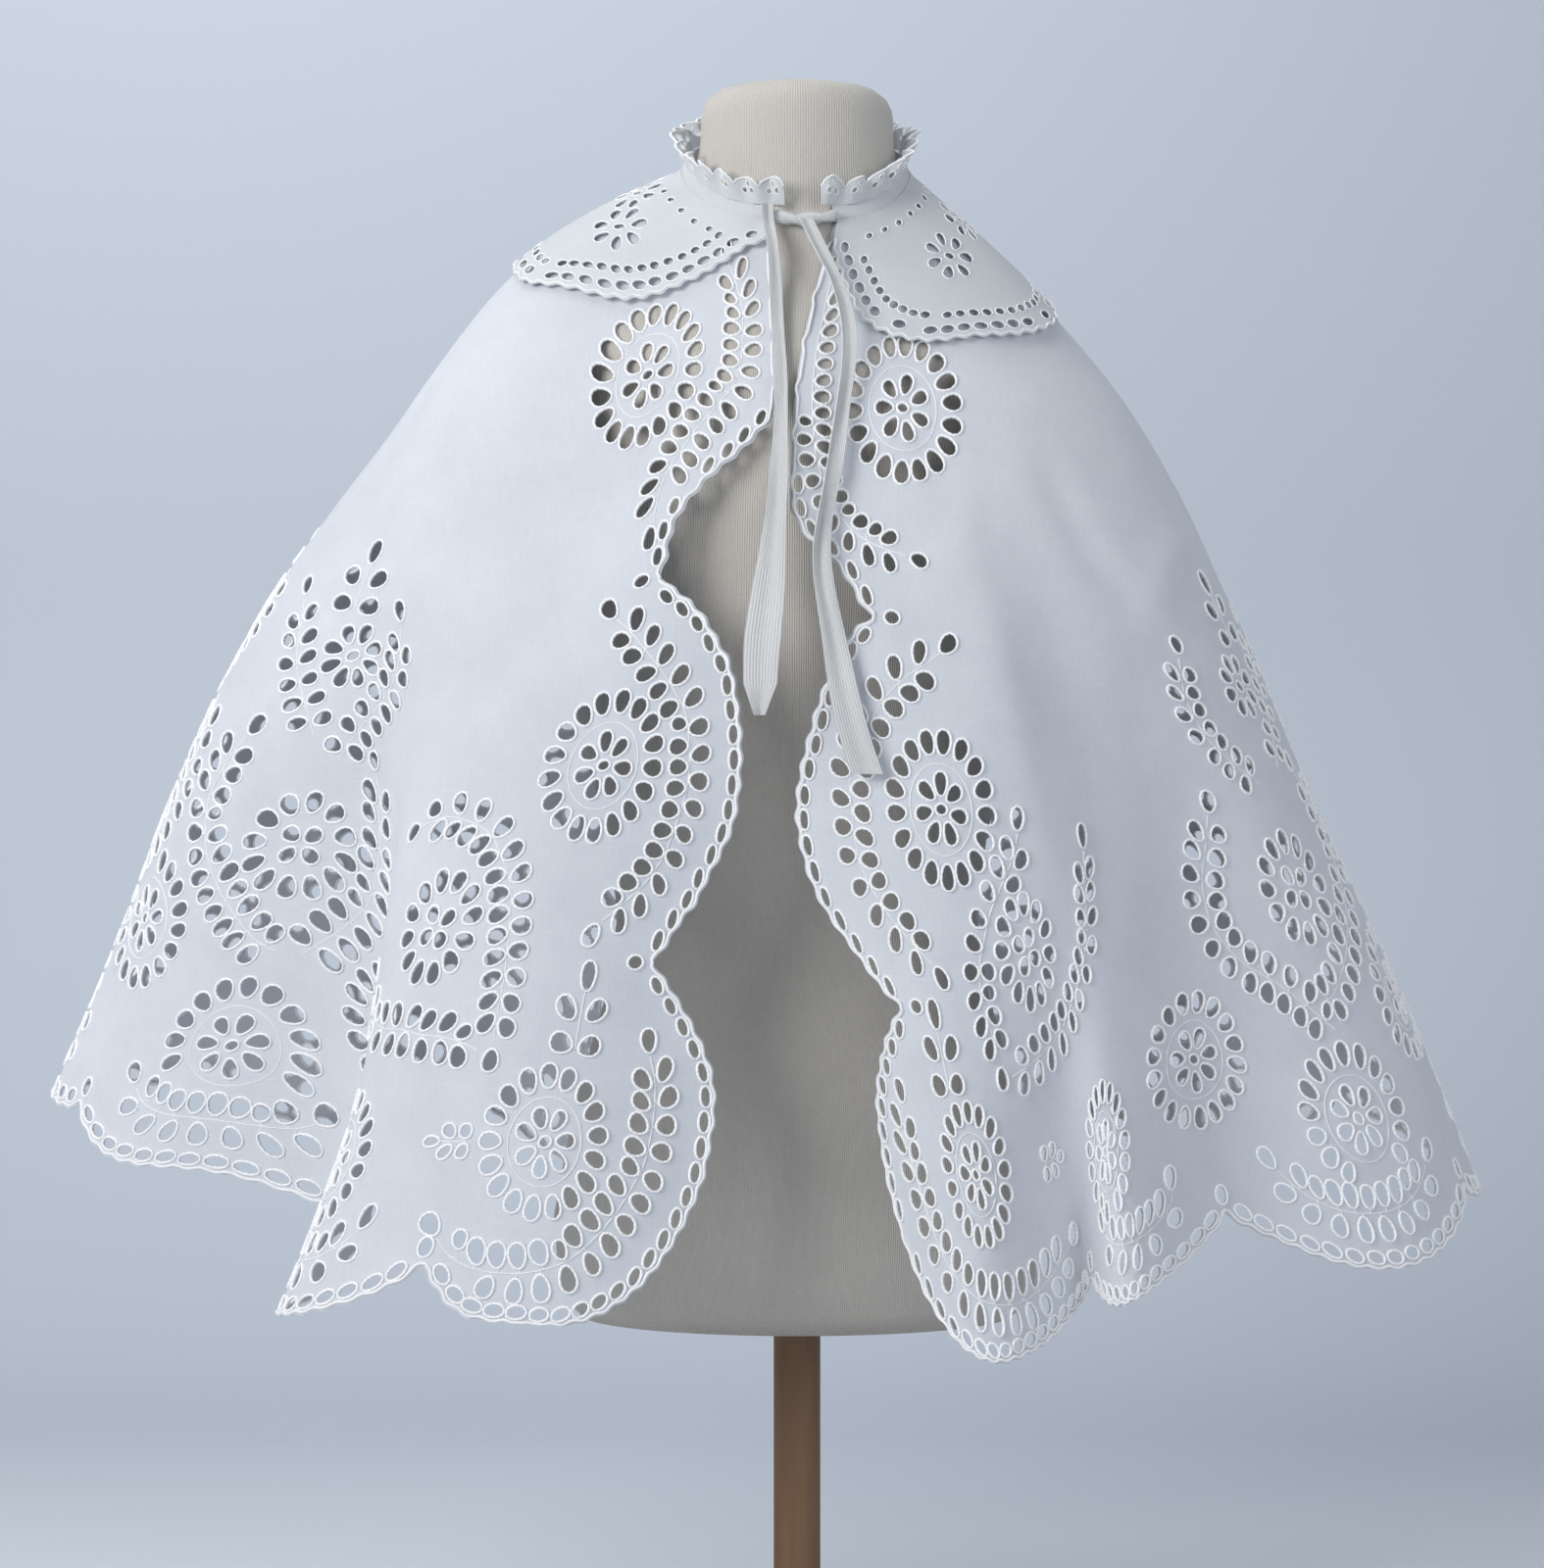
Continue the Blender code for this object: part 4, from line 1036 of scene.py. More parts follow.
def cape_outline(edge: CutEdge) -> np.ndarray:
    """The closed outline of a half.

    Args:
        edge: The scalloped edge.

    Returns:
        The outline's points.
    """
    worked = edge.joined()
    top = flat_point(0.0, np.linspace(NECK_RADIUS, 0.135, 4)[:-1])
    radii = np.linspace(np.hypot(*worked[-1]), NECK_RADIUS, 100)[1:]
    seam = flat_point(HALF_ANGLE * radii - 0.00030, radii)
    neck = flat_point(np.linspace(HALF_ANGLE * NECK_RADIUS, 0, 48)[1:-1], NECK_RADIUS)
    return np.concatenate([top, worked, seam, neck])


def cape_embroidery(side: Side, edge: CutEdge, outline: np.ndarray) -> Embroidery:
    """Work the eyelets and stems of one half.

    Args:
        side: The half.
        edge: Its scalloped edge.
        outline: Its outline.

    Returns:
        The embroidery.
    """
    left = side is Side.LEFT
    work = Embroidery(outline, 3 if left else 8, side)
    edge.row(work, 0.0098, 0.0052, 0.12)
    for before, after in zip(edge.runs, edge.runs[1:]):
        tip = after[0]
        behind = tip - (before[-30] + after[30]) / 2
        behind /= np.linalg.norm(behind)
        spot = tip + behind * 0.0082
        work.add(Eyelet(spot[0], spot[1], math.atan2(behind[1], behind[0]), 0.0088, 0.0060), keep=0.0018)
    first, second, third = ((0.0592, 0.2185), (0.0682, 0.4396), (0.0870, 0.6333)) if left else \
        ((0.0514, 0.2383), (0.0658, 0.4499), (0.0731, 0.6300))
    work.wheel(*first, turn=0.3, size=1.12 if left else 1.14, count=18)
    work.wheel(*second, turn=0.1, size=1.05)
    work.wheel(*third, turn=0.25, size=1.02 if left else 0.94)
    upper, middle, lower = [smooth([at_step(a, r / 1000) for a, r in stem], 120)
                            for stem in (LEFT_STEMS if left else RIGHT_STEMS)]
    if left:
        work.spray(upper, 1, (0.0118, 0.0106), 0.0096, 0.0128, 0.0070)
    else:
        work.spray(upper, 1, (0.0108, 0.0098), 0.0076, 0.0108, 0.0066)
    work.spray(middle, 1, (0.0136, 0.0122), 0.0082, 0.0120, 0.0078)
    work.spray(lower, 1, (0.0128, 0.0124), 0.0088, 0.0120, 0.0084)
    hem_sprays(work, edge)
    work.sprig(*((0.0711, 0.5698) if left else (0.0598, 0.5718)), 1.22)
    x, y = (0.1303, 0.6274) if left else (0.1224, 0.6282)
    work.sprig(x, y, 0.66, math.pi / 2)
    x, y = (0.1360, 0.5150) if left else (0.1049, 0.5245)
    work.flower(x, y)
    for arm, outer in LEFT_PANEL if left else RIGHT_PANEL:
        work.spray(smooth(beside(x, y, arm)), outer, (0.0126, 0.0114), 0.0074, 0.0110, 0.0074)
    small, large = ((0.0122, 0.0112), 0.0062, 0.0088, 0.0062), ((0.0132, 0.0116), 0.0080, 0.0104, 0.0076)
    for k, (a, at, b, bt, c, ct, d, dt) in enumerate(LEFT_BOUQUETS if left else RIGHT_BOUQUETS):
        work.sprig(*at_step(a, at))
        x, y = at_step(b, bt)
        work.star(x, y)
        shown = k == 0 and not left
        work.spray(smooth(beside(x, y, RIGHT_STAR_FRONT if shown else STAR_FRONT)), -1, *small,
                   free=(True, False))
        work.spray(smooth(beside(x, y, STAR_AWAY)), 1, *small, free=(True, False))
        x, y = at_step(c, ct)
        work.flower(x, y)
        work.spray(smooth(beside(x, y, CUP_AWAY)), 1, *large, free=(True, False))
        work.spray(smooth(beside(x, y, RIGHT_CUP_FRONT if shown else CUP_FRONT)), -1, *large,
                   free=(True, False))
        work.wheel(*at_step(d, dt), 0.15)
    for steps, radius in ((2.05 if left else 1.96, 0.615 if left else 0.626), (1.55 if left else 1.41, 0.650),
                          (3.36, 0.606), (4.50, 0.606), (5.70, 0.606), (6.88, 0.606)):
        work.wheel(*at_step(steps, radius), turn=0.1, size=0.92)
    return work


def hem_sprays(work: Embroidery, edge: CutEdge) -> None:
    """Work a leafy spray along each hem scallop after the front three.

    Args:
        work: The embroidery to add to.
        edge: The scalloped edge.
    """
    last = len(edge.runs) - 1
    for k, run in list(enumerate(edge.runs))[3:]:
        inward = inward_of(run)
        inward = np.stack([np.convolve(np.pad(inward[:, c], 60, mode="edge"), np.ones(121) / 121, "valid")
                           for c in (0, 1)], axis=1)
        share = np.linspace(0, 1, len(run))
        lo, hi, inset = 0.12, 0.88, 0.0285 + 0.030 * np.abs(2 * share - 1) ** 3
        if k == last:
            lo, hi, inset = 0.30, 0.985, 0.0285 + 0.030 * np.abs(1 - share) ** 3
        narrow = narrowness(work.side, run[:, 0], run[:, 1])
        path = run + narrowed(run[:, 0], run[:, 1], inward * inset[:, None], narrow)
        path = path[int(lo * len(run)):int(hi * len(run))]
        work.spray(path[::6], 1, free=(True, k < last))


def inside_of(points: np.ndarray, outline: np.ndarray) -> np.ndarray:
    """Which points lie inside a closed outline.

    Args:
        points: The points.
        outline: The outline's points, the first not repeated.

    Returns:
        True or False for each point.
    """
    inside = np.zeros(len(points), bool)
    x, y = points[:, 0], points[:, 1]
    for (ax, ay), (bx, by) in zip(outline, np.roll(outline, -1, axis=0)):
        if ay == by:
            continue
        crosses = (ay > y) != (by > y)
        inside ^= crosses & (x < (bx - ax) * (y - ay) / (by - ay) + ax)
    return inside


def triangulate(outline: np.ndarray, holes: list[np.ndarray],
                spacing: float) -> tuple[np.ndarray, np.ndarray]:
    """Fill an outline with triangles round its holes.

    Args:
        outline: The closed outline.
        holes: Each hole's points.
        spacing: Distance between the points in between.

    Returns:
        The flat points and the triangles.
    """
    low, high = outline.min(axis=0), outline.max(axis=0)
    rows = []
    for j, y in enumerate(np.arange(low[1], high[1], spacing * ROW_HEIGHT)):
        x = np.arange(low[0] + (spacing / 2 if j % 2 else 0), high[0], spacing)
        rows.append(np.stack([x, np.full_like(x, y)], axis=1))
    grid = np.concatenate(rows)
    grid = grid[inside_of(grid, outline)]
    fixed = np.concatenate([outline] + holes)
    tree = kdtree.KDTree(len(fixed))
    for i, point in enumerate(fixed):
        tree.insert((point[0], point[1], 0.0), i)
    tree.balance()
    away = np.array([tree.find((x, y, 0.0))[2] for x, y in grid])
    grid = grid[away > 0.45 * spacing]
    middles = np.array([hole.mean(axis=0) for hole in holes]).reshape(-1, 2)
    reaches = np.array([np.linalg.norm(hole - hole.mean(axis=0), axis=1).max() for hole in holes])
    keep = np.ones(len(grid), bool)
    for i, (middle, reach) in enumerate(zip(middles, reaches)):
        near = np.nonzero(np.linalg.norm(grid - middle, axis=1) < reach)[0]
        keep[near[inside_of(grid[near], holes[i])]] = False
    grid = grid[keep]
    edges = [(i, (i + 1) % len(outline)) for i in range(len(outline))]
    owner = np.full(len(outline), -1)
    start = len(outline)
    for i, hole in enumerate(holes):
        edges += [(start + k, start + (k + 1) % len(hole)) for k in range(len(hole))]
        owner = np.concatenate([owner, np.full(len(hole), i)])
        start += len(hole)
    owner = np.concatenate([owner, np.full(len(grid), -1)])
    flat = np.concatenate([fixed, grid])
    found = geometry.delaunay_2d_cdt([Vector(point) for point in flat * ENLARGED], edges, [], 0, 1e-6)
    points = np.array([(p.x, p.y) for p in found[0]]) / ENLARGED
    triangles = np.array([face[:] for face in found[2] if len(face) == 3])
    owners = np.array([owner[ids[0]] if ids else -1 for ids in found[3]])
    middle = points[triangles].mean(axis=1)
    first, second, third = owners[triangles].T
    same = (first >= 0) & (first == second) & (second == third)
    triangles = triangles[inside_of(middle, outline) & ~same]
    a, b, c = points[triangles[:, 0]], points[triangles[:, 1]], points[triangles[:, 2]]
    area = (b[:, 0] - a[:, 0]) * (c[:, 1] - a[:, 1]) - (b[:, 1] - a[:, 1]) * (c[:, 0] - a[:, 0])
    triangles[area < 0] = triangles[area < 0][:, ::-1]
    triangles = triangles[np.abs(area) > 1e-12]
    used = np.unique(triangles)
    renumber = np.full(len(points), -1)
    renumber[used] = np.arange(len(used))
    return points[used], renumber[triangles]


def grid_triangles(rows: int, columns: int) -> np.ndarray:
    """Two triangles for each cell of a grid of points.

    Args:
        rows: Rows of the grid.
        columns: Columns of the grid.

    Returns:
        The triangles.
    """
    index = np.arange(rows * columns).reshape(rows, columns)
    quads = np.stack([index[:-1, :-1], index[:-1, 1:], index[1:, 1:], index[1:, :-1]], axis=-1)
    quads = quads.reshape(-1, 4)
    return np.concatenate([quads[:, [0, 1, 2]], quads[:, [0, 2, 3]]])


def corner_points(mesh: bpy.types.Mesh) -> np.ndarray:
    """The point under each face corner of a mesh.

    Args:
        mesh: The mesh.

    Returns:
        The points' numbers.
    """
    corners = np.zeros(len(mesh.loops), int)
    mesh.loops.foreach_get("vertex_index", corners)
    return corners


def finished(name: str, mesh: bpy.types.Mesh, places: np.ndarray | None, sharp: float) -> bpy.types.Object:
    """Shade a mesh smooth, with its UV map, and put it in the scene.

    Args:
        name: The piece's name.
        mesh: Its mesh.
        places: A UV for each face corner.
        sharp: Angle in degrees above which an edge stays sharp.

    Returns:
        The piece.
    """
    if places is not None:
        layer = mesh.uv_layers.new(name=PATTERN)
        layer.data.foreach_set("uv", places.astype(np.float32).ravel())
    mesh.polygons.foreach_set("use_smooth", np.ones(len(mesh.polygons), bool))
    mesh.set_sharp_from_angle(angle=math.radians(sharp))
    return link(bpy.data.objects.new(name, mesh))


def shell(name: str, middle: np.ndarray, triangles: np.ndarray, outward: np.ndarray, thickness: float,
          flat: np.ndarray) -> bpy.types.Object:
    """A closed thin shell on a sheet of triangles.

    Args:
        name: The piece's name.
        middle: The middle surface's points.
        triangles: Its triangles.
        outward: A direction near each point's outward normal.
        thickness: The cloth's thickness.
        flat: Each point's place on the flat cloth, kept as a UV map.

    Returns:
        The piece, at the origin.
    """
    a, b, c = middle[triangles[:, 0]], middle[triangles[:, 1]], middle[triangles[:, 2]]
    face = np.cross(b - a, c - a)
    if (face * outward[triangles[:, 0]]).sum() < 0:
        triangles, face = triangles[:, ::-1], -face
    normal = np.zeros_like(middle)
    for k in range(3):
        np.add.at(normal, triangles[:, k], face)
    normal /= np.maximum(np.linalg.norm(normal, axis=1, keepdims=True), 1e-12)
    count = len(middle)
    verts = np.concatenate([middle + normal * thickness / 2, middle - normal * thickness / 2])
    borders = np.concatenate([triangles[:, [0, 1]], triangles[:, [1, 2]], triangles[:, [2, 0]]])
    keys = set(map(tuple, borders.tolist()))
    rim = [(p, q) for p, q in keys if (q, p) not in keys]
    faces = triangles.tolist() + (triangles[:, ::-1] + count).tolist()
    faces += [(q, p, p + count, q + count) for p, q in sorted(rim)]
    mesh = bpy.data.meshes.new(name)
    mesh.from_pydata(verts.tolist(), [], faces)
    mesh.update()
    return finished(name, mesh, np.concatenate([flat, flat])[corner_points(mesh)], 55)


def link(piece: bpy.types.Object) -> bpy.types.Object:
    """Put an object in the scene.

    Args:
        piece: The object.

    Returns:
        The same object.
    """
    bpy.context.scene.collection.objects.link(piece)
    return piece


def lofted(name: str, rings: np.ndarray, closed: bool, capped: bool, uv: np.ndarray | None = None,
           sharp: float = 50.0) -> bpy.types.Object:
    """A smooth mesh through rings of points.

    Args:
        name: The piece's name.
        rings: Rows of points, all of one length.
        closed: Whether each row closes on itself.
        capped: Whether the first and last rows are filled.
        uv: A UV for each point of each row.
        sharp: Angle in degrees above which an edge stays sharp.

    Returns:
        The piece, at the origin, with its faces outward.
    """
    rows, columns = rings.shape[:2]
    index = np.arange(rows * columns).reshape(rows, columns)
    after = np.roll(index, -1, axis=1) if closed else index[:, 1:]
    here = index if closed else index[:, :-1]
    faces = np.stack([here[:-1], here[1:], after[1:], after[:-1]], axis=-1).reshape(-1, 4).tolist()
    if capped:
        faces += [index[0].tolist(), index[-1][::-1].tolist()]
    points = rings.reshape(-1, 3)
    if closed:
        volume = sum(float(np.dot(points[f[0]], np.cross(points[f[i]], points[f[i + 1]])))
                     for f in faces for i in range(1, len(f) - 1))
        if volume < 0:
            faces = [f[::-1] for f in faces]
    mesh = bpy.data.meshes.new(name)
    mesh.from_pydata(points.tolist(), [], faces)
    mesh.update()
    places = None
    if uv is not None:
        corners = corner_points(mesh)
        places = uv.reshape(-1, 2)[corners]
        for face in mesh.polygons if closed else ():
            some = slice(face.loop_start, face.loop_start + face.loop_total)
            row = uv[corners[some][0] // columns]
            turn = abs(float(row[1, 0] - row[0, 0])) * columns
            wide = places[some, 0].max() - places[some, 0] > turn / 2
            if face.loop_total == 4:
                places[some, 0] += np.where(wide, turn, 0)
    return finished(name, mesh, places, sharp)


class NodeWork:
    """Builds one node tree."""

    def __init__(self, tree: bpy.types.NodeTree) -> None:
        """Take a tree to build in.

        Args:
            tree: The tree.
        """
        self.tree = tree

    def add(self, kind: str, settings: dict[str, object] | None = None, **inputs: object) -> bpy.types.Node:
        """Add a node.

        Args:
            kind: Its type.
            settings: Properties to set on it.
            **inputs: Values or sockets for its inputs, with spaces in names as underscores.

        Returns:
            The node.
        """
        node = self.tree.nodes.new(kind)
        for key, value in (settings or {}).items():
            setattr(node, key, value)
        self.feed_all(node, **inputs)
        return node

    def feed_all(self, node: bpy.types.Node, **inputs: object) -> None:
        """Give several inputs their values.

        Args:
            node: The node.
            **inputs: Values or sockets, with spaces in names as underscores.
        """
        for key, value in inputs.items():
            self.feed(node, key.replace("_", " "), value)

    def feed(self, node: bpy.types.Node, name: str | int, value: object) -> None:
        """Give an input its value.

        Args:
            node: The node.
            name: The input's name or number.
            value: A value, or the socket that feeds it.
        """
        socket = node.inputs[name]
        if isinstance(value, bpy.types.NodeSocket):
            self.tree.links.new(value, socket)
        else:
            socket.default_value = value

    def own(self) -> bpy.types.NodeSocket:
        """The place on the object.

        Returns:
            Its socket.
        """
        return self.add("ShaderNodeTexCoord").outputs["Object"]

    def noise(self, place: bpy.types.NodeSocket, scale: float, detail: float,
              distortion: float = 0.0) -> bpy.types.NodeSocket:
        """Uneven values from 0 to 1.

        Args:
            place: Where they are read.
            scale: Their fineness.
            detail: How many finer layers they have.
            distortion: How far they are pulled about.

        Returns:
            The values' socket.
        """
        return self.add("ShaderNodeTexNoise", Vector=place, Scale=scale, Detail=detail,
                        Distortion=distortion).outputs["Fac"]

    def stretched(self, place: bpy.types.NodeSocket,
                  factors: tuple[float, float, float]) -> bpy.types.NodeSocket:
        """A place multiplied along each axis.

        Args:
            place: The place.
            factors: What each axis is multiplied by.

        Returns:
            The stretched place's socket.
        """
        node = self.add("ShaderNodeVectorMath", {"operation": "MULTIPLY"})
        self.feed(node, 0, place)
        self.feed(node, 1, factors)
        return node.outputs[0]

    def relief(self, shader: bpy.types.Node, strength: float, distance: float,
               height: bpy.types.NodeSocket) -> None:
        """Raise a shader's surface.

        Args:
            shader: The shader.
            strength: The relief's share, 0 to 1.
            distance: Its height.
            height: Where it is high.
        """
        bump = self.add("ShaderNodeBump", Strength=strength, Distance=distance, Height=height)
        self.feed(shader, "Normal", bump.outputs[0])

    def blend(self, share: object, a: Sequence[float], b: Sequence[float]) -> bpy.types.NodeSocket:
        """Mix two colours.

        Args:
            share: How much of the second.
            a: The first.
            b: The second.

        Returns:
            The mixed colour's socket.
        """
        node = self.add("ShaderNodeMix", {"data_type": "RGBA"})
        for number, value in ((0, share), (6, (*a, 1.0)), (7, (*b, 1.0))):
            self.feed(node, number, value)
        return node.outputs[2]

    def sums(self, operation: str, a: object, b: object = 0.0, c: object = 0.0) -> bpy.types.NodeSocket:
        """One step of arithmetic.

        Args:
            operation: The operation's name.
            a: The first value.
            b: The second value.
            c: The third value.

        Returns:
            The result's socket.
        """
        node = self.add("ShaderNodeMath", {"operation": operation})
        for number, value in enumerate((a, b, c)):
            self.feed(node, number, value)
        return node.outputs[0]


def new_material(name: str) -> tuple[bpy.types.Material, NodeWork, bpy.types.Node]:
    """Start a material.

    Args:
        name: Its name.

    Returns:
        The material, its node work and its main shader.
    """
    material = bpy.data.materials.new(name)
    material.use_nodes = True
    work = NodeWork(material.node_tree)
    return material, work, material.node_tree.nodes["Principled BSDF"]


@dataclass(frozen=True)
class ClothFinish:
    """Woven cotton: a fine uneven plain weave, slightly see-through to light."""

    name: str
    colour: tuple[float, float, float]
    deep: tuple[float, float, float]
    roughness: float = 0.88
    glow: float = 0.10
    thread: float = 0.0007
    weave: float = 0.35

    def material(self) -> bpy.types.Material:
        """Build the material.

        Returns:
            The material.
        """
        material, work, shader = new_material(self.name)
        place = work.add("ShaderNodeUVMap", {"uv_map": PATTERN}).outputs["UV"]
        own = work.own()
        threads = []
        for across, along in ((1.0, 0.06), (0.06, 1.0)):
            drawn = work.stretched(place, (across / self.thread, along / self.thread, 1.0))
            threads.append(work.noise(drawn, 1.0, 2.0))
        weave = work.sums("ADD", threads[0], threads[1])
        soft = work.noise(own, 9.0, 3.0)
        patch = work.noise(own, 38.0, 4.0)
        tone = work.sums("MULTIPLY_ADD", soft, 0.9, work.sums("MULTIPLY_ADD", patch, 0.5, -0.35))
        tone = work.sums("ADD", tone, work.sums("MULTIPLY_ADD", weave, 0.5, -0.5))
        clamp = work.add("ShaderNodeClamp", Value=tone)
        colour = work.blend(clamp.outputs[0], self.deep, self.colour)
        work.feed_all(shader, Base_Color=colour, Roughness=self.roughness, Specular_IOR_Level=0.25,
                      Sheen_Weight=0.25, Sheen_Roughness=0.6)
        work.relief(shader, self.weave, 0.00025, weave)
        through = work.add("ShaderNodeBsdfTranslucent", Color=colour)
        mixed = work.add("ShaderNodeMixShader")
        for number, value in enumerate((self.glow, shader.outputs[0], through.outputs[0])):
            work.feed(mixed, number, value)
        work.feed(material.node_tree.nodes["Material Output"], "Surface", mixed.outputs[0])
        return material


@dataclass(frozen=True)
class ThreadFinish:
    """Satin and buttonhole stitches: close parallel threads across the line they follow."""

    name: str
    colour: tuple[float, float, float]
    deep: tuple[float, float, float]

    def material(self) -> bpy.types.Material:
        """Build the material.

        Returns:
            The material.
        """
        material, work, shader = new_material(self.name)
        stitch = work.add("ShaderNodeAttribute", {"attribute_name": "stitches"}).outputs["Fac"]
        wave = work.sums("ABSOLUTE", work.sums("SINE", work.sums("MULTIPLY", stitch, math.pi)))
        own = work.own()
        noise = work.noise(own, 900.0, 2.0)
        height = work.sums("MULTIPLY_ADD", noise, 0.5, wave)
        tone = work.noise(own, 60.0, 2.0)
        # The colour follows the stitch wave: lighter on each stitch and darker in the grooves between
        # stitches, painted shade that matches the bump
        share = work.sums("MULTIPLY_ADD", wave, 0.45, work.sums("MULTIPLY", tone, 0.8))
        work.feed(shader, "Base Color", work.blend(share, self.deep, self.colour))
        work.feed_all(shader, Roughness=0.70, Specular_IOR_Level=0.35, Sheen_Weight=0.2)
        work.relief(shader, 0.5, 0.0003, height)
        return material


@dataclass(frozen=True)
class RibFinish:
    """Cloth with fine ribs along one direction, for the tape and the form's cover."""

    name: str
    colour: tuple[float, float, float]
    deep: tuple[float, float, float]
    rib: float
    depth: float
    roughness: float = 0.85

    def material(self) -> bpy.types.Material:
        """Build the material.

        Returns:
            The material.
        """
        material, work, shader = new_material(self.name)
        place = work.add("ShaderNodeUVMap", {"uv_map": PATTERN}).outputs["UV"]
        parts = work.add("ShaderNodeSeparateXYZ", Vector=place)
        own = work.own()
        wander = work.noise(own, 30.0, 2.0)
        across = work.sums("ADD", parts.outputs[0], work.sums("MULTIPLY", wander, self.rib * 0.6))
        ribs = work.sums("ABSOLUTE", work.sums("SINE", work.sums("MULTIPLY", across, math.pi / self.rib)))
        grain = work.noise(own, 700.0, 3.0)
        blotch = work.noise(own, 14.0, 4.0)
        # The ribs also set the colour: lighter on their crests and darker in the grooves between them,
        # painted shade that matches the bump
        share = work.sums("MULTIPLY_ADD", ribs, 0.40, work.sums("MULTIPLY_ADD", grain, 0.5, work.sums(
            "MULTIPLY_ADD", blotch, 0.6, -0.35)))
        clamp = work.add("ShaderNodeClamp", Value=share)
        work.feed(shader, "Base Color", work.blend(clamp.outputs[0], self.deep, self.colour))
        work.feed_all(shader, Roughness=self.roughness, Specular_IOR_Level=0.2, Sheen_Weight=0.2)
        work.relief(shader, 0.6, self.depth, work.sums("MULTIPLY_ADD", grain, 0.5, ribs))
        return material


@dataclass(frozen=True)
class WoodFinish:
    """Turned, dull wood with its grain along one axis."""

    name: str
    colour: tuple[float, float, float]
    deep: tuple[float, float, float]
    stretch: tuple[float, float, float]

    def material(self) -> bpy.types.Material:
        """Build the material.

        Returns:
            The material.
        """
        material, work, shader = new_material(self.name)
        own = work.own()
        grain = work.noise(work.stretched(own, self.stretch), 10.0, 6.0, 0.6)
        work.feed(shader, "Base Color", work.blend(grain, self.deep, self.colour))
        work.feed(shader, "Roughness", work.sums("MULTIPLY_ADD", grain, 0.20, 0.55))
        work.relief(shader, 0.2, 0.0004, grain)
        return material


@dataclass(frozen=True)
class SweepFinish:
    """The floor, pale near the stand, that turns into the greyer backdrop behind it."""

    name: str
    floor: tuple[float, float, float]
    behind: tuple[float, float, float]

    def material(self) -> bpy.types.Material:
        """Build the material.

        Returns:
            The material.
        """
        material, work, shader = new_material(self.name)
        own = work.own()
        parts = work.add("ShaderNodeSeparateXYZ", Vector=own)
        back = work.add("ShaderNodeMapRange", Value=parts.outputs[1])
        for number, value in ((1, 0.15), (2, 0.75), (3, 0.0), (4, 1.0)):
            work.feed(back, number, value)
        mottle = work.noise(own, 1.5, 2.0)
        share = work.sums("ADD", back.outputs[0], work.sums("MULTIPLY_ADD", mottle, 0.06, -0.03))
        clamp = work.add("ShaderNodeClamp", Value=share)
        work.feed(shader, "Base Color", work.blend(clamp.outputs[0], self.floor, self.behind))
        work.feed_all(shader, Roughness=0.95, Specular_IOR_Level=0.1)
        return material


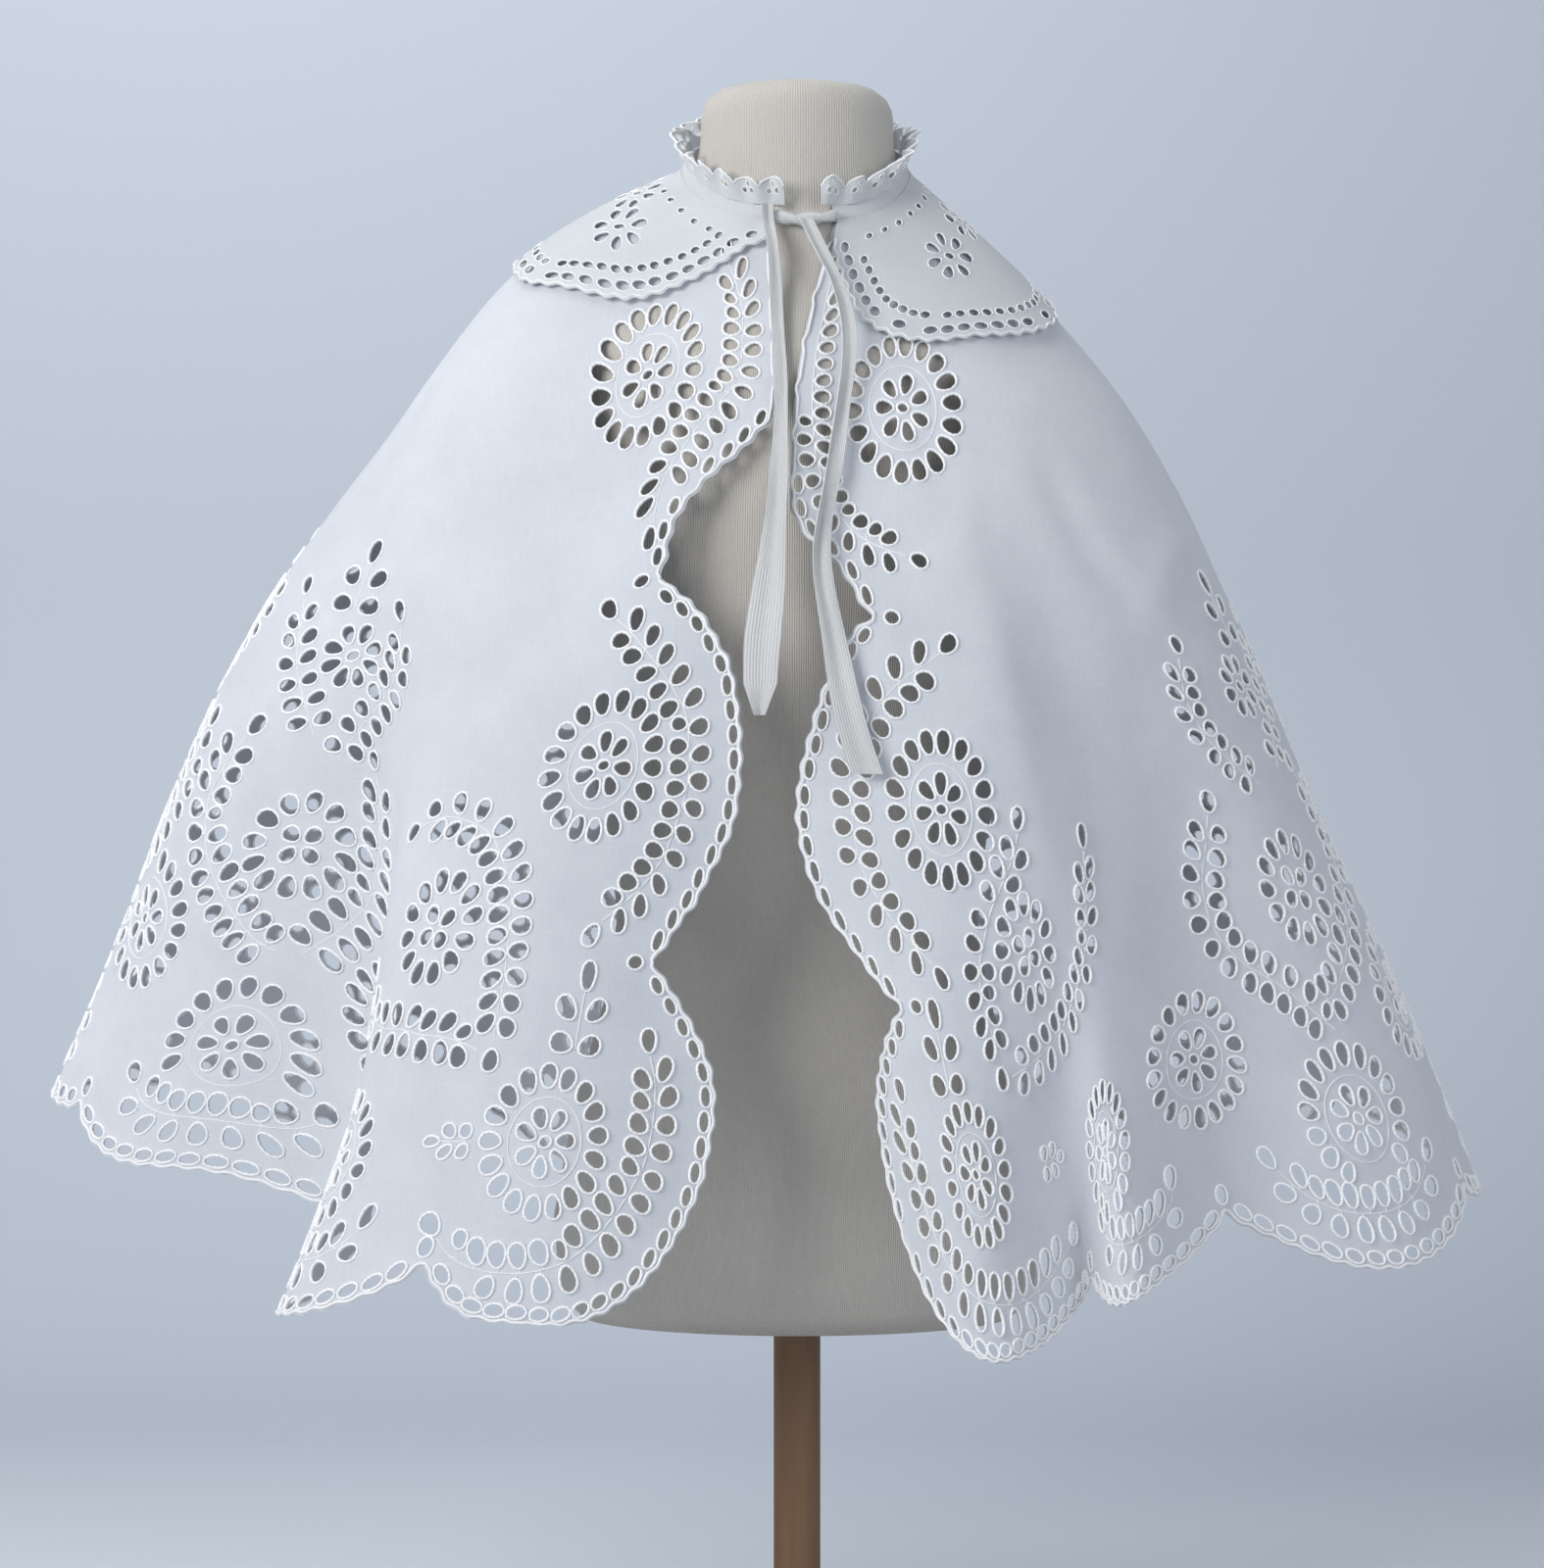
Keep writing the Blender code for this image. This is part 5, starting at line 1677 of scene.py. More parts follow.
@dataclass
class Threadwork:
    """Stitched lines made by Geometry Nodes along lines of points, one plain mesh for each piece."""

    material: bpy.types.Material
    half_width: float
    half_height: float
    sides: int = 6
    unevenness: float = 0.08
    seed: int = 5

    def tree(self) -> bpy.types.NodeTree:
        """The node tree that sweeps a flattened round along each line.

        Returns:
            The tree, with named inputs.
        """
        tree = bpy.data.node_groups.new("stitched_line", "GeometryNodeTree")
        face = tree.interface
        face.new_socket(name="Geometry", in_out="INPUT", socket_type="NodeSocketGeometry")
        for name in ("Half Width", "Half Height", "Unevenness"):
            face.new_socket(name=name, in_out="INPUT", socket_type="NodeSocketFloat")
        for name in ("Sides", "Seed"):
            face.new_socket(name=name, in_out="INPUT", socket_type="NodeSocketInt")
        face.new_socket(name="Thread", in_out="INPUT", socket_type="NodeSocketMaterial")
        face.new_socket(name="Geometry", in_out="OUTPUT", socket_type="NodeSocketGeometry")
        work = NodeWork(tree)
        given = work.add("NodeGroupInput").outputs
        line = work.add("GeometryNodeMeshToCurve", Mesh=given["Geometry"])
        facing = work.add("GeometryNodeInputNamedAttribute", {"data_type": "FLOAT_VECTOR"}, Name="face")
        turned = work.add("GeometryNodeSetCurveNormal", {"mode": "FREE"}, Curve=line.outputs[0])
        work.feed(turned, "Normal", facing.outputs["Attribute"])
        low = work.sums("SUBTRACT", 1.0, given["Unevenness"])
        high = work.sums("ADD", 1.0, given["Unevenness"])
        size = work.add("FunctionNodeRandomValue", {"data_type": "FLOAT"})
        for which, value in ((2, low), (3, high), ("Seed", given["Seed"])):
            work.feed(size, which, value)
        swelled = work.add("GeometryNodeSetCurveRadius", Curve=turned.outputs[0], Radius=size.outputs[1])
        rounded = work.add("GeometryNodeCurvePrimitiveCircle", {"mode": "RADIUS"}, Resolution=given["Sides"],
                           Radius=1.0)
        scale = work.add("ShaderNodeCombineXYZ", X=given["Half Width"], Y=given["Half Height"], Z=1.0)
        profile = work.add("GeometryNodeTransform", Geometry=rounded.outputs[0], Scale=scale.outputs[0])
        swept = work.add("GeometryNodeCurveToMesh", Curve=swelled.outputs[0],
                         Profile_Curve=profile.outputs[0], Fill_Caps=True)
        softened = work.add("GeometryNodeSetShadeSmooth", Geometry=swept.outputs[0], Shade_Smooth=True)
        real = work.add("GeometryNodeRealizeInstances", Geometry=softened.outputs[0])
        dressed = work.add("GeometryNodeSetMaterial", Geometry=real.outputs[0], Material=given["Thread"])
        out = work.add("NodeGroupOutput")
        work.feed(out, "Geometry", dressed.outputs[0])
        return tree

    def sew(self, name: str, lines: list[tuple[np.ndarray, np.ndarray, bool]],
            per_gap: int = 3) -> bpy.types.Object:
        """Sew along lines.

        Args:
            name: The piece's name.
            lines: For each line its points, its outward normals and whether it closes.
            per_gap: Stitches between two points.

        Returns:
            The piece, one plain mesh at the origin.
        """
        points, normals, edges, stitches = [], [], [], []
        start = 0
        for line, facing, closed in lines:
            count = len(line)
            points.append(line)
            normals.append(facing)
            stitches.append(np.arange(count) % 2 * float(per_gap))
            edges += [(start + k, start + k + 1) for k in range(count - 1)]
            if closed:
                edges.append((start + count - 1, start))
            start += count
        mesh = bpy.data.meshes.new(name + "_lines")
        mesh.from_pydata(np.concatenate(points).tolist(), edges, [])
        facing = mesh.attributes.new("face", "FLOAT_VECTOR", "POINT")
        facing.data.foreach_set("vector", np.concatenate(normals).astype(np.float32).ravel())
        counted = mesh.attributes.new("stitches", "FLOAT", "POINT")
        counted.data.foreach_set("value", np.concatenate(stitches).astype(np.float32))
        piece = link(bpy.data.objects.new(name, mesh))
        modifier = piece.modifiers.new("stitched", "NODES")
        modifier.node_group = self.tree()
        values = {"Half Width": self.half_width, "Half Height": self.half_height,
                  "Unevenness": self.unevenness, "Sides": self.sides, "Seed": self.seed,
                  "Thread": self.material}
        for item in modifier.node_group.interface.items_tree:
            if item.in_out == "INPUT" and item.name in values:
                modifier[item.identifier] = values[item.name]
        graph = bpy.context.evaluated_depsgraph_get()
        made = bpy.data.meshes.new_from_object(piece.evaluated_get(graph), depsgraph=graph)
        piece.modifiers.clear()
        piece.data = made
        made.name = name
        bpy.data.meshes.remove(mesh)
        return piece


@dataclass
class CapeHalf:
    """One half of the cape: the cut cloth, its stitched edge, its eyelets' rims and its stems."""

    side: Side
    drape: Drape
    cloth: bpy.types.Material
    thread: bpy.types.Material
    thickness: float = 0.00050
    spacing: float = 0.0070
    hole_grow: float = 0.0003
    rim_grow: float = 0.0009
    rim_points: int = 12
    inset: float = 0.0015
    rim_lift: float = 0.00015
    stem_lift: float = 0.00022
    area: float = 0.352

    def lines(self, flats: list[tuple[np.ndarray, bool]],
              lift: float) -> list[tuple[np.ndarray, np.ndarray, bool]]:
        """Lay flat lines on the worn cloth.

        Args:
            flats: Each line's flat points and whether it closes.
            lift: Distance out from the middle surface.

        Returns:
            Each line's points, normals and whether it closes.
        """
        sizes = np.cumsum([len(points) for points, _ in flats])[:-1]
        points, normals = self.drape.lay(np.concatenate([points for points, _ in flats]), self.side, lift)
        closes = [closed for _, closed in flats]
        return list(zip(np.split(points, sizes), np.split(normals, sizes), closes))

    def build(self) -> list[bpy.types.Object]:
        """Make the half and its threadwork.

        Returns:
            The pieces, the cloth first.
        """
        word = self.side.word
        edge = cape_edge(self.side)
        outline = cape_outline(edge)
        work = cape_embroidery(self.side, edge, outline[::3])
        holes = [eyelet.outline(self.rim_points, self.hole_grow) for eyelet in work.eyelets]
        flat, triangles = triangulate(outline, holes, self.spacing)
        points, normals = self.drape.lay(flat, self.side)
        cloth = shell(f"cape_{word}_cloth", points, triangles, normals, self.thickness, flat)
        cloth.data.materials.append(self.cloth)
        rims = Threadwork(self.thread, *RIM_THREAD)
        loops = [(eyelet.outline(self.rim_points, self.rim_grow), True) for eyelet in work.eyelets]
        half = len(loops) // 2
        pieces = [cloth]
        for part, some in (("first", loops[:half]), ("second", loops[half:])):
            pieces.append(rims.sew(f"cape_{word}_rims_{part}", self.lines(some, self.rim_lift), 1))
        band = Threadwork(self.thread, *EDGE_THREAD)
        inner = edge.joined(self.inset)
        pieces.append(band.sew(f"cape_{word}_edge", self.lines([(inner, False)], 0.0), 3))
        cord = Threadwork(self.thread, *STEM_THREAD, sides=5)
        stems = [(resample(stem, 0.0030), False) for stem in work.stems]
        pieces.append(cord.sew(f"cape_{word}_stems", self.lines(stems, self.stem_lift), 3))
        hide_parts(f"cape_{word}")
        LOG.info("cape_%s: %d eyelets, %d stems", word, len(work.eyelets), len(work.stems))
        return pieces


@dataclass
class CollarHalf:
    """One half of the flat collar, with its eyelet border, its dots and its flowers."""

    side: Side
    drape: Drape
    cloth: bpy.types.Material
    thread: bpy.types.Material
    start: float = -0.0042
    seat: float = 0.0013
    rise: float = 0.0017
    thickness: float = 0.00050
    spacing: float = 0.0050

    def reach(self, share: np.ndarray) -> np.ndarray:
        """Level of the collar's edge.

        Args:
            share: Shares of the way from the centre back to the front.

        Returns:
            The levels.
        """
        table = np.array(LEFT_REACH if self.side is Side.LEFT else RIGHT_REACH)[::-1]
        return np.interp(share, table[:, 0], table[:, 1])

    def lay(self, flat: np.ndarray, lift: float = 0.0) -> tuple[np.ndarray, np.ndarray]:
        """Lay flat points on the collar.

        Args:
            flat: The points.
            lift: Distance out from the collar's middle surface.

        Returns:
            The points and their outward normals.
        """
        turn, radius = np.arctan2(flat[:, 0], flat[:, 1]), np.hypot(flat[:, 0], flat[:, 1])
        share, v = np.clip(1 - turn / HALF_ANGLE, 0.0, 0.99), (radius - NECK_RADIUS) / LENGTH
        down = np.clip(v / self.reach(share), 0, 1)
        out = self.seat + self.rise * down ** 0.8 + lift
        phase = 0.6 if self.side is Side.LEFT else 2.2
        out = out + 0.0014 * down ** 2 * (0.5 + 0.5 * np.sin(21 * turn + phase))
        roll = np.clip(-v * LENGTH, 0, None)
        out = out - 0.35 * roll
        points = self.drape.at(self.side.value * share, v, out)
        higher = self.drape.at(self.side.value * share, v, out + 0.001)
        points[:, 2] += roll * 1.05
        higher[:, 2] += roll * 1.05
        return points, (higher - points) / 0.001

    def edge(self) -> CutEdge:
        """The worked edge, from the front corner to the centre back.

        Returns:
            The edge.
        """
        table = LEFT_REACH if self.side is Side.LEFT else RIGHT_REACH
        flat = []
        for share, level in table:
            radius = NECK_RADIUS + LENGTH * level
            flat.append(flat_point((1 - max(share, 0.0016)) * HALF_ANGLE * radius, radius))
        run = resample(smooth(flat, 600), FINE_STEP)
        return CutEdge([run], pitch=0.0098, inset=0.0058, bulge=0.0017, starts=[0.006], stops=[0.005])

    def build(self) -> list[bpy.types.Object]:
        """Make the half collar and its threadwork.

        Returns:
            The pieces, the cloth first.
        """
        word = self.side.word
        edge = self.edge()
        worked = edge.wavy(0)
        top = NECK_RADIUS + LENGTH * self.start
        radii = np.linspace(np.hypot(*worked[-1]), top, 24)[1:]
        seam = flat_point((1 - 0.0016) * HALF_ANGLE * radii, radii)
        neck = flat_point(np.linspace(HALF_ANGLE * top * 0.9984, HALF_ANGLE * top * 0.01, 60)[1:], top)
        outline = np.concatenate([worked, seam, neck])
        work = Embroidery(np.concatenate([worked, seam]), seed=21)
        edge.row(work, 0.0072, 0.0046, 0.0)
        run, inward = edge.runs[0], inward_of(edge.runs[0])
        for place in np.arange(0.020, FINE_STEP * len(run) - 0.004, 0.0084):
            j = int(place / FINE_STEP)
            spot = run[j] + inward[j] * 0.0142
            turn = math.atan2(inward[j][0], -inward[j][1])
            work.add(work.vary(Eyelet(*spot, turn, 0.0050, 0.0038)), keep=0.0010)
        flowers = ((0.363, 0.071), (0.452, 0.040), (0.585, 0.070), (0.690, 0.052), (0.820, 0.072),
                   (0.930, 0.056))
        if self.side is Side.RIGHT:
            flowers = ((0.318, 0.074), (0.455, 0.056), (0.590, 0.078), (0.705, 0.054), (0.820, 0.074),
                       (0.932, 0.056))
        for k, (turn, level) in enumerate(flowers):
            radius = NECK_RADIUS + LENGTH * level
            x, y = radius * math.sin(turn * HALF_ANGLE), radius * math.cos(turn * HALF_ANGLE)
            work.star(x, y, 0.3 * k, 0.90 - 0.10 * (k % 2), 7)
        for turn in np.arange(0.12, 0.99, 0.055):
            radius = NECK_RADIUS + LENGTH * 0.018
            work.add(work.vary(Eyelet(radius * math.sin(turn * HALF_ANGLE),
                                      radius * math.cos(turn * HALF_ANGLE),
                                      0.0, 0.0042, 0.0030)), keep=0.0020, edge=0.0)
        holes = [eyelet.outline(10, 0.0002) for eyelet in work.eyelets]
        flat, triangles = triangulate(outline, holes, self.spacing)
        points, normals = self.lay(flat)
        cloth = shell(f"collar_{word}_cloth", points, triangles, normals, self.thickness, flat)
        cloth.data.materials.append(self.cloth)
        rims = Threadwork(self.thread, 0.00070, 0.00038)
        pieces = [cloth, rims.sew(f"collar_{word}_rims", [(*self.lay(eyelet.outline(10, 0.0006)), True)
                                                         for eyelet in work.eyelets], 1)]
        band = Threadwork(self.thread, 0.0014, 0.00055)
        pieces.append(band.sew(f"collar_{word}_edge", [(*self.lay(edge.wavy(0, 0.0012)), False)], 3))
        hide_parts(f"collar_{word}")
        LOG.info("collar_%s: %d eyelets", word, len(work.eyelets))
        return pieces


@dataclass
class NeckFrill:
    """The gathered frill that stands on the neck band, scalloped, with three dots in each scallop.

    Its ends reach past the band toward the knot, between left_end and right_end on the neck seam's line.
    """

    drape: Drape
    cloth: bpy.types.Material
    thread: bpy.types.Material
    foot: float = 0.0105
    height: float = 0.0148
    lean: float = -0.0022
    flare: float = 0.0052
    wave: float = 0.0034
    pitch: float = 0.0190
    fullness: float = 1.30
    thickness: float = 0.00045
    margin: float = 0.0015
    scallop: float = 0.0190
    left_end: tuple[float, float, float] = (-0.0060, -0.0600, 0.7705)
    right_end: tuple[float, float, float] = (0.0115, -0.0590, 0.7710)

    def seam(self) -> np.ndarray:
        """The neck seam from the left front to the right front.

        Returns:
            Its points, a millimetre apart.
        """
        w = np.linspace(-1, 1, 800)
        seam = self.drape.at(w, np.zeros_like(w))
        return resample(np.concatenate([[self.left_end], seam, [self.right_end]]), 0.001)

    def lay(self, flat: np.ndarray, lift: float = 0.0) -> tuple[np.ndarray, np.ndarray]:
        """Stand flat points up round the neck.

        Args:
            flat: Distance along the strip and height up it.
            lift: Distance out from the strip's middle surface.

        Returns:
            The points and outward directions.
        """
        seam = self.seam()
        run = np.arange(len(seam)) * 0.001 * self.fullness
        out = seam * [1, 1, 0]
        out /= np.linalg.norm(out, axis=1, keepdims=True)
        base = np.stack([np.interp(flat[:, 0], run, seam[:, k]) for k in range(3)], axis=1)
        away = np.stack([np.interp(flat[:, 0], run, out[:, k]) for k in range(3)], axis=1)
        up = np.clip(flat[:, 1] / self.height, 0, 1.2)
        phase = 2 * np.pi * flat[:, 0] / self.pitch
        sway = self.wave * (0.25 + 0.75 * up) * np.sin(phase + 0.5 * np.sin(phase * 0.23)) \
            + 0.0008 * up * np.sin(phase * 0.37 + 1.0)
        lean = self.lean + self.flare * up ** 1.2 + sway + lift
        droop = 0.0008 * up * np.sin(phase * 0.31 + 2.0)
        points = base + away * lean[:, None]
        points[:, 2] += self.foot + flat[:, 1] * 0.96 + droop
        return points, away

    def build(self) -> list[bpy.types.Object]:
        """Make the frill.

        Returns:
            The pieces, the cloth first.
        """
        total = 0.001 * (len(self.seam()) - 1) * self.fullness
        count = int(round(total / self.scallop))
        at = np.linspace(self.margin, total - self.margin, count * 10 + 1)
        step = (total - 2 * self.margin) / count
        arch = np.abs(np.sin(np.pi * (at - self.margin) / step)) ** 0.55
        top = np.stack([at, self.height - 0.0052 * (1 - arch)], axis=1)
        foot = np.stack([at[::-1], np.zeros(len(at))], axis=1)
        outline = np.concatenate([top, foot])[::-1]
        holes = []
        for k in range(count):
            middle = self.margin + step * (k + 0.5)
            for dx, dy in ((0.0, -0.0038), (-0.0034, -0.0076), (0.0034, -0.0076)):
                holes.append(Eyelet(middle + dx, self.height + dy, 0.0, 0.0036, 0.0028))
        flat, triangles = triangulate(outline, [hole.outline(8) for hole in holes], 0.0026)
        points, normals = self.lay(flat)
        cloth = shell("neck_frill_cloth", points, triangles, normals, self.thickness, flat)
        cloth.data.materials.append(self.cloth)
        rims = Threadwork(self.thread, 0.00055, 0.00038, sides=5)
        pieces = [cloth, rims.sew("neck_frill_rims",
                                  [(*self.lay(hole.outline(8, 0.0004)), True) for hole in holes], 1)]
        edge = Threadwork(self.thread, 0.0009, 0.00055)
        pieces.append(edge.sew("neck_frill_edge", [(*self.lay(top - [0, 0.0005]), False)], 3))
        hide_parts("neck_frill")
        LOG.info("neck_frill: %d scallops", count)
        return pieces


@dataclass
class NeckBand:
    """The narrow band that the collar, the frill and the ties are sewn to."""

    drape: Drape
    cloth: bpy.types.Material
    foot: float = 0.0012
    height: float = 0.0090
    lean: float = 0.0030
    thickness: float = 0.0010

    def build(self) -> list[bpy.types.Object]:
        """Make the band.

        Returns:
            The piece, in a list.
        """
        w = np.linspace(-1, 1, 181)
        seam = self.drape.at(w, np.zeros_like(w))
        out = seam * [1, 1, 0]
        out /= np.linalg.norm(out, axis=1, keepdims=True)
        rise = np.linspace(0, 1, 7)
        flat = np.stack(np.meshgrid(w * 0.19, rise * self.height), axis=-1).reshape(-1, 2)
        rows = []
        for up in rise:
            puff = 0.0003 * math.sin(math.pi * up)
            rows.append(seam + out * (puff - self.lean * up) + [0, 0, self.foot + self.height * up])
        piece = shell("neck_band_cloth", np.concatenate(rows), grid_triangles(len(rise), len(w)),
                      np.tile(out, (len(rise), 1)), self.thickness, flat)
        piece.data.materials.append(self.cloth)
        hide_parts("neck_band")
        LOG.info("neck_band")
        return [piece]


@dataclass
class Tape:
    """One hanging end of the woven tape, folded narrow above and spread below."""

    side: Side
    tape: bpy.types.Material
    thickness: float = 0.0006
    curl: float = 0.0009
    columns: int = 13

    def build(self) -> list[bpy.types.Object]:
        """Make the tape.

        Returns:
            The piece, in a list.
        """
        word = self.side.word
        table = np.array(LEFT_TAPE if self.side is Side.LEFT else RIGHT_TAPE)
        run = np.concatenate([[0], np.cumsum(np.linalg.norm(np.diff(table[:, :3], axis=0), axis=1))])
        at = np.unique(np.concatenate([np.linspace(0, run[-1], 110), run[-2:]]))
        spread = spline(at, run, table)
        if self.side is Side.LEFT:
            spread[:, 3] = np.interp(at, run, table[:, 3])
        slim = np.interp(at / run[-1], (0.0, 0.12, 0.4, 0.6, 0.8, 1.0), (0.9, 0.62, 0.62, 0.76, 0.92, 0.95))
        spread[:, 3] *= slim
        turn = np.radians(spread[:, 4])
        along = np.stack([np.cos(turn), np.sin(turn), 0 * turn], axis=1)
        front = np.stack([np.sin(turn), -np.cos(turn), 0 * turn], axis=1)
        across = np.linspace(-0.5, 0.5, self.columns)
        narrow = np.clip((0.017 - spread[:, 3]) / 0.010, 0, 1)
        share = at / run[-1]
        points, flat = [], []
        for a in across:
            fold = self.curl * (0.4 + 1.0 * narrow) * np.cos(2 * np.pi * a) * -1
            crease = 0.0006 * np.sin(9 * share * np.pi + 3 * a) * np.sin(np.pi * share)
            crease += 0.0005 * np.sin(3 * np.pi * a + 2.2 * np.sin(5 * share)) * np.sin(np.pi * share) ** 0.5
            sideways, outward = spread[:, 3] * a, fold + crease
            points.append(spread[:, :3] + along * sideways[:, None] + front * outward[:, None])
            flat.append(np.stack([np.full(len(at), a * 0.018), at], axis=1))
        piece = shell(f"tie_{word}_tape", np.stack(points, axis=1).reshape(-1, 3),
                      grid_triangles(len(at), self.columns), np.repeat(front, self.columns, axis=0),
                      self.thickness, np.stack(flat, axis=1).reshape(-1, 2))
        piece.data.materials.append(self.tape)
        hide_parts(f"tie_{word}")
        LOG.info("tie_%s", word)
        return [piece]


@dataclass
class Knot:
    """The half knot at the throat: one piece, its twisted two-lobed section stands for two strands."""

    drape: Drape
    tape: bpy.types.Material
    seat: float = 0.0026
    overlap: float = 0.0015
    rise: float = 0.00495
    dip: float = 0.0035
    bow: float = 0.0027
    rows: int = 61
    around: int = 24

    def build(self) -> list[bpy.types.Object]:
        """Make the knot.

        Returns:
            The piece, in a list.
        """
        ends = []
        for w, overlap in ((-1.0, -self.overlap), (1.0, self.overlap)):
            seam = self.drape.at(np.array([w]), np.array([0.0]))[0]
            out = seam * [1, 1, 0]
            out /= np.linalg.norm(out)
            ends.append(seam + out * self.seat + [overlap, 0, self.rise])
        rings, flat = [], []
        sag = np.array([0, -self.bow, -self.dip])
        for s in np.linspace(0, 1, self.rows):
            middle = ends[0] + (ends[1] - ends[0]) * s + sag * math.sin(math.pi * s)
            ring = []
            twist = 2.6 * math.pi * s
            swell = (0.85 + 0.22 * math.sin(math.pi * s)) * min(1.0, 0.55 + 6 * min(s, 1 - s))
            for k in range(self.around):
                a = 2 * math.pi * k / self.around
                lobe = 1 + 0.20 * math.cos(2 * (a - twist)) + 0.05 * math.cos(9 * (a - twist))
                ring.append(middle + swell * lobe * np.array([0, 0.0025 * math.cos(a), 0.0029 * math.sin(a)]))
                flat.append((k * 0.0009, s * 0.04 + a * 0.002))
            rings.append(ring)
        pattern = np.array(flat).reshape(self.rows, self.around, 2)
        piece = lofted("tie_knot_tape", np.array(rings), True, True, pattern)
        piece.data.materials.append(self.tape)
        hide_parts("tie_knot")
        LOG.info("tie_knot")
        return [piece]


@dataclass
class Form:
    """The limbless form: its neck, shoulders just inside the cape and a plain torso."""

    drape: Drape
    cover: bpy.types.Material
    clearance: float = 0.0014
    columns: int = 160

    def section(self, row: Sequence[float], turns: np.ndarray) -> np.ndarray:
        """A level ring of the form.

        Args:
            row: Its z, left, right, front and back.
            turns: Directions of its points, from +Y.

        Returns:
            The ring's points.
        """
        z, left, right, front, back = row
        across, along = np.sin(turns), np.cos(turns)
        half = np.where(across < 0, left, right)
        deep = np.where(along > 0, back, front)
        reach = 1 / np.sqrt((across / half) ** 2 + (along / deep) ** 2)
        return np.stack([reach * across, reach * along, np.full_like(reach, z)], axis=1)

    def shoulder(self, v: float, turns: np.ndarray) -> np.ndarray:
        """A ring just inside the cape.

        Args:
            v: Its level on the cape.
            turns: Directions of its points.

        Returns:
            The ring's points.
        """
        w = np.linspace(-1, 1, 721)
        ring = self.drape.at(w, np.full_like(w, v), -self.clearance)
        turn = np.arctan2(ring[:, 0], ring[:, 1])
        order = np.argsort(turn)
        turn, ring = turn[order], ring[order]
        turn = np.concatenate([turn, turn + 2 * np.pi])
        ring = np.concatenate([ring, ring])
        radius = np.hypot(ring[:, 0], ring[:, 1])
        reach, height = np.interp(turns, turn, radius), np.interp(turns, turn, ring[:, 2])
        return np.stack([reach * np.sin(turns), reach * np.cos(turns), height], axis=1)

    def build(self) -> list[bpy.types.Object]:
        """Make the form.

        Returns:
            The piece, in a list.
        """
        turns = np.linspace(0, 2 * np.pi, self.columns, endpoint=False)
        shoulders = [self.shoulder(v, turns) for v in SHOULDER_LEVELS]
        neck = [self.section(row, turns) for row in FORM_NECK]
        base = self.section((0.838, 0.0515, 0.0515, 0.0488, 0.0488), turns)
        rows = list(neck)
        for rise in (0.88, 0.78, 0.68, 0.58, 0.48, 0.38, 0.30, 0.22, 0.15, 0.10, 0.05):
            spread = (1 - rise) ** 4.0
            level = base + (shoulders[0] - base) * np.array([spread, spread, 1 - rise])
            level[:, 2] = np.minimum(level[:, 2], 0.8345 - 0.03 * (1 - rise) ** 2 * 0.2)
            rows.append(level)
        rows += shoulders + [self.section(row, turns) for row in FORM_BODY]
        rings = np.stack(rows)
        around = np.array([turns * (0.0525 if k < len(neck) + 11 else 0.130) for k in range(len(rows))])
        down = np.concatenate([np.zeros((1, self.columns)),
                               np.cumsum(np.linalg.norm(np.diff(rings, axis=0), axis=2), axis=0)])
        piece = lofted("form_torso_cover", rings, True, True, np.stack([around, down], axis=-1), sharp=70)
        piece.data.materials.append(self.cover)
        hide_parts("form_torso")
        LOG.info("form_torso")
        return [piece]


@dataclass
class Stand:
    """The turned wooden pole and base."""

    wood: bpy.types.Material
    base_wood: bpy.types.Material
    pole_radius: float = 0.0125
    top: float = 0.1957
    bottom: float = 0.0403

    def build(self) -> list[bpy.types.Object]:
        """Make the pole and the base.

        Returns:
            The two pieces.
        """
        pole = ((0.0, self.bottom), (self.pole_radius - 0.0006, self.bottom),
                (self.pole_radius, self.bottom + 0.0006),
                (self.pole_radius, self.top - 0.0006), (self.pole_radius - 0.0006, self.top), (0.0, self.top))
        base = ((0.0, 0.0), (0.132, 0.0), (0.1342, 0.0010), (0.135, 0.003), (0.135, 0.012), (0.1343, 0.0148),
                (0.1318, 0.0158), (0.129, 0.016), (0.110, 0.0182), (0.081, 0.021), (0.050, 0.0232),
                (0.036, 0.0240), (0.0325, 0.0246), (0.0305, 0.0275), (0.0282, 0.036), (0.0268, 0.0388),
                (0.024, 0.040), (0.0, 0.040))
        pieces = []
        for name, node, profile, wood in (("stand_pole_wood", "stand_pole", pole, self.wood),
                                          ("stand_base_wood", "stand_base", base, self.base_wood)):
            turns = np.linspace(0, 2 * np.pi, 96, endpoint=False)
            rings = np.array([[(max(r, 0.0004) * math.cos(t), max(r, 0.0004) * math.sin(t), z) for t in turns]
                              for r, z in profile])
            piece = lofted(name, rings, True, True, sharp=35)
            piece.data.materials.append(wood)
            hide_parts(node)
            pieces.append(piece)
            LOG.info(node)
        return pieces


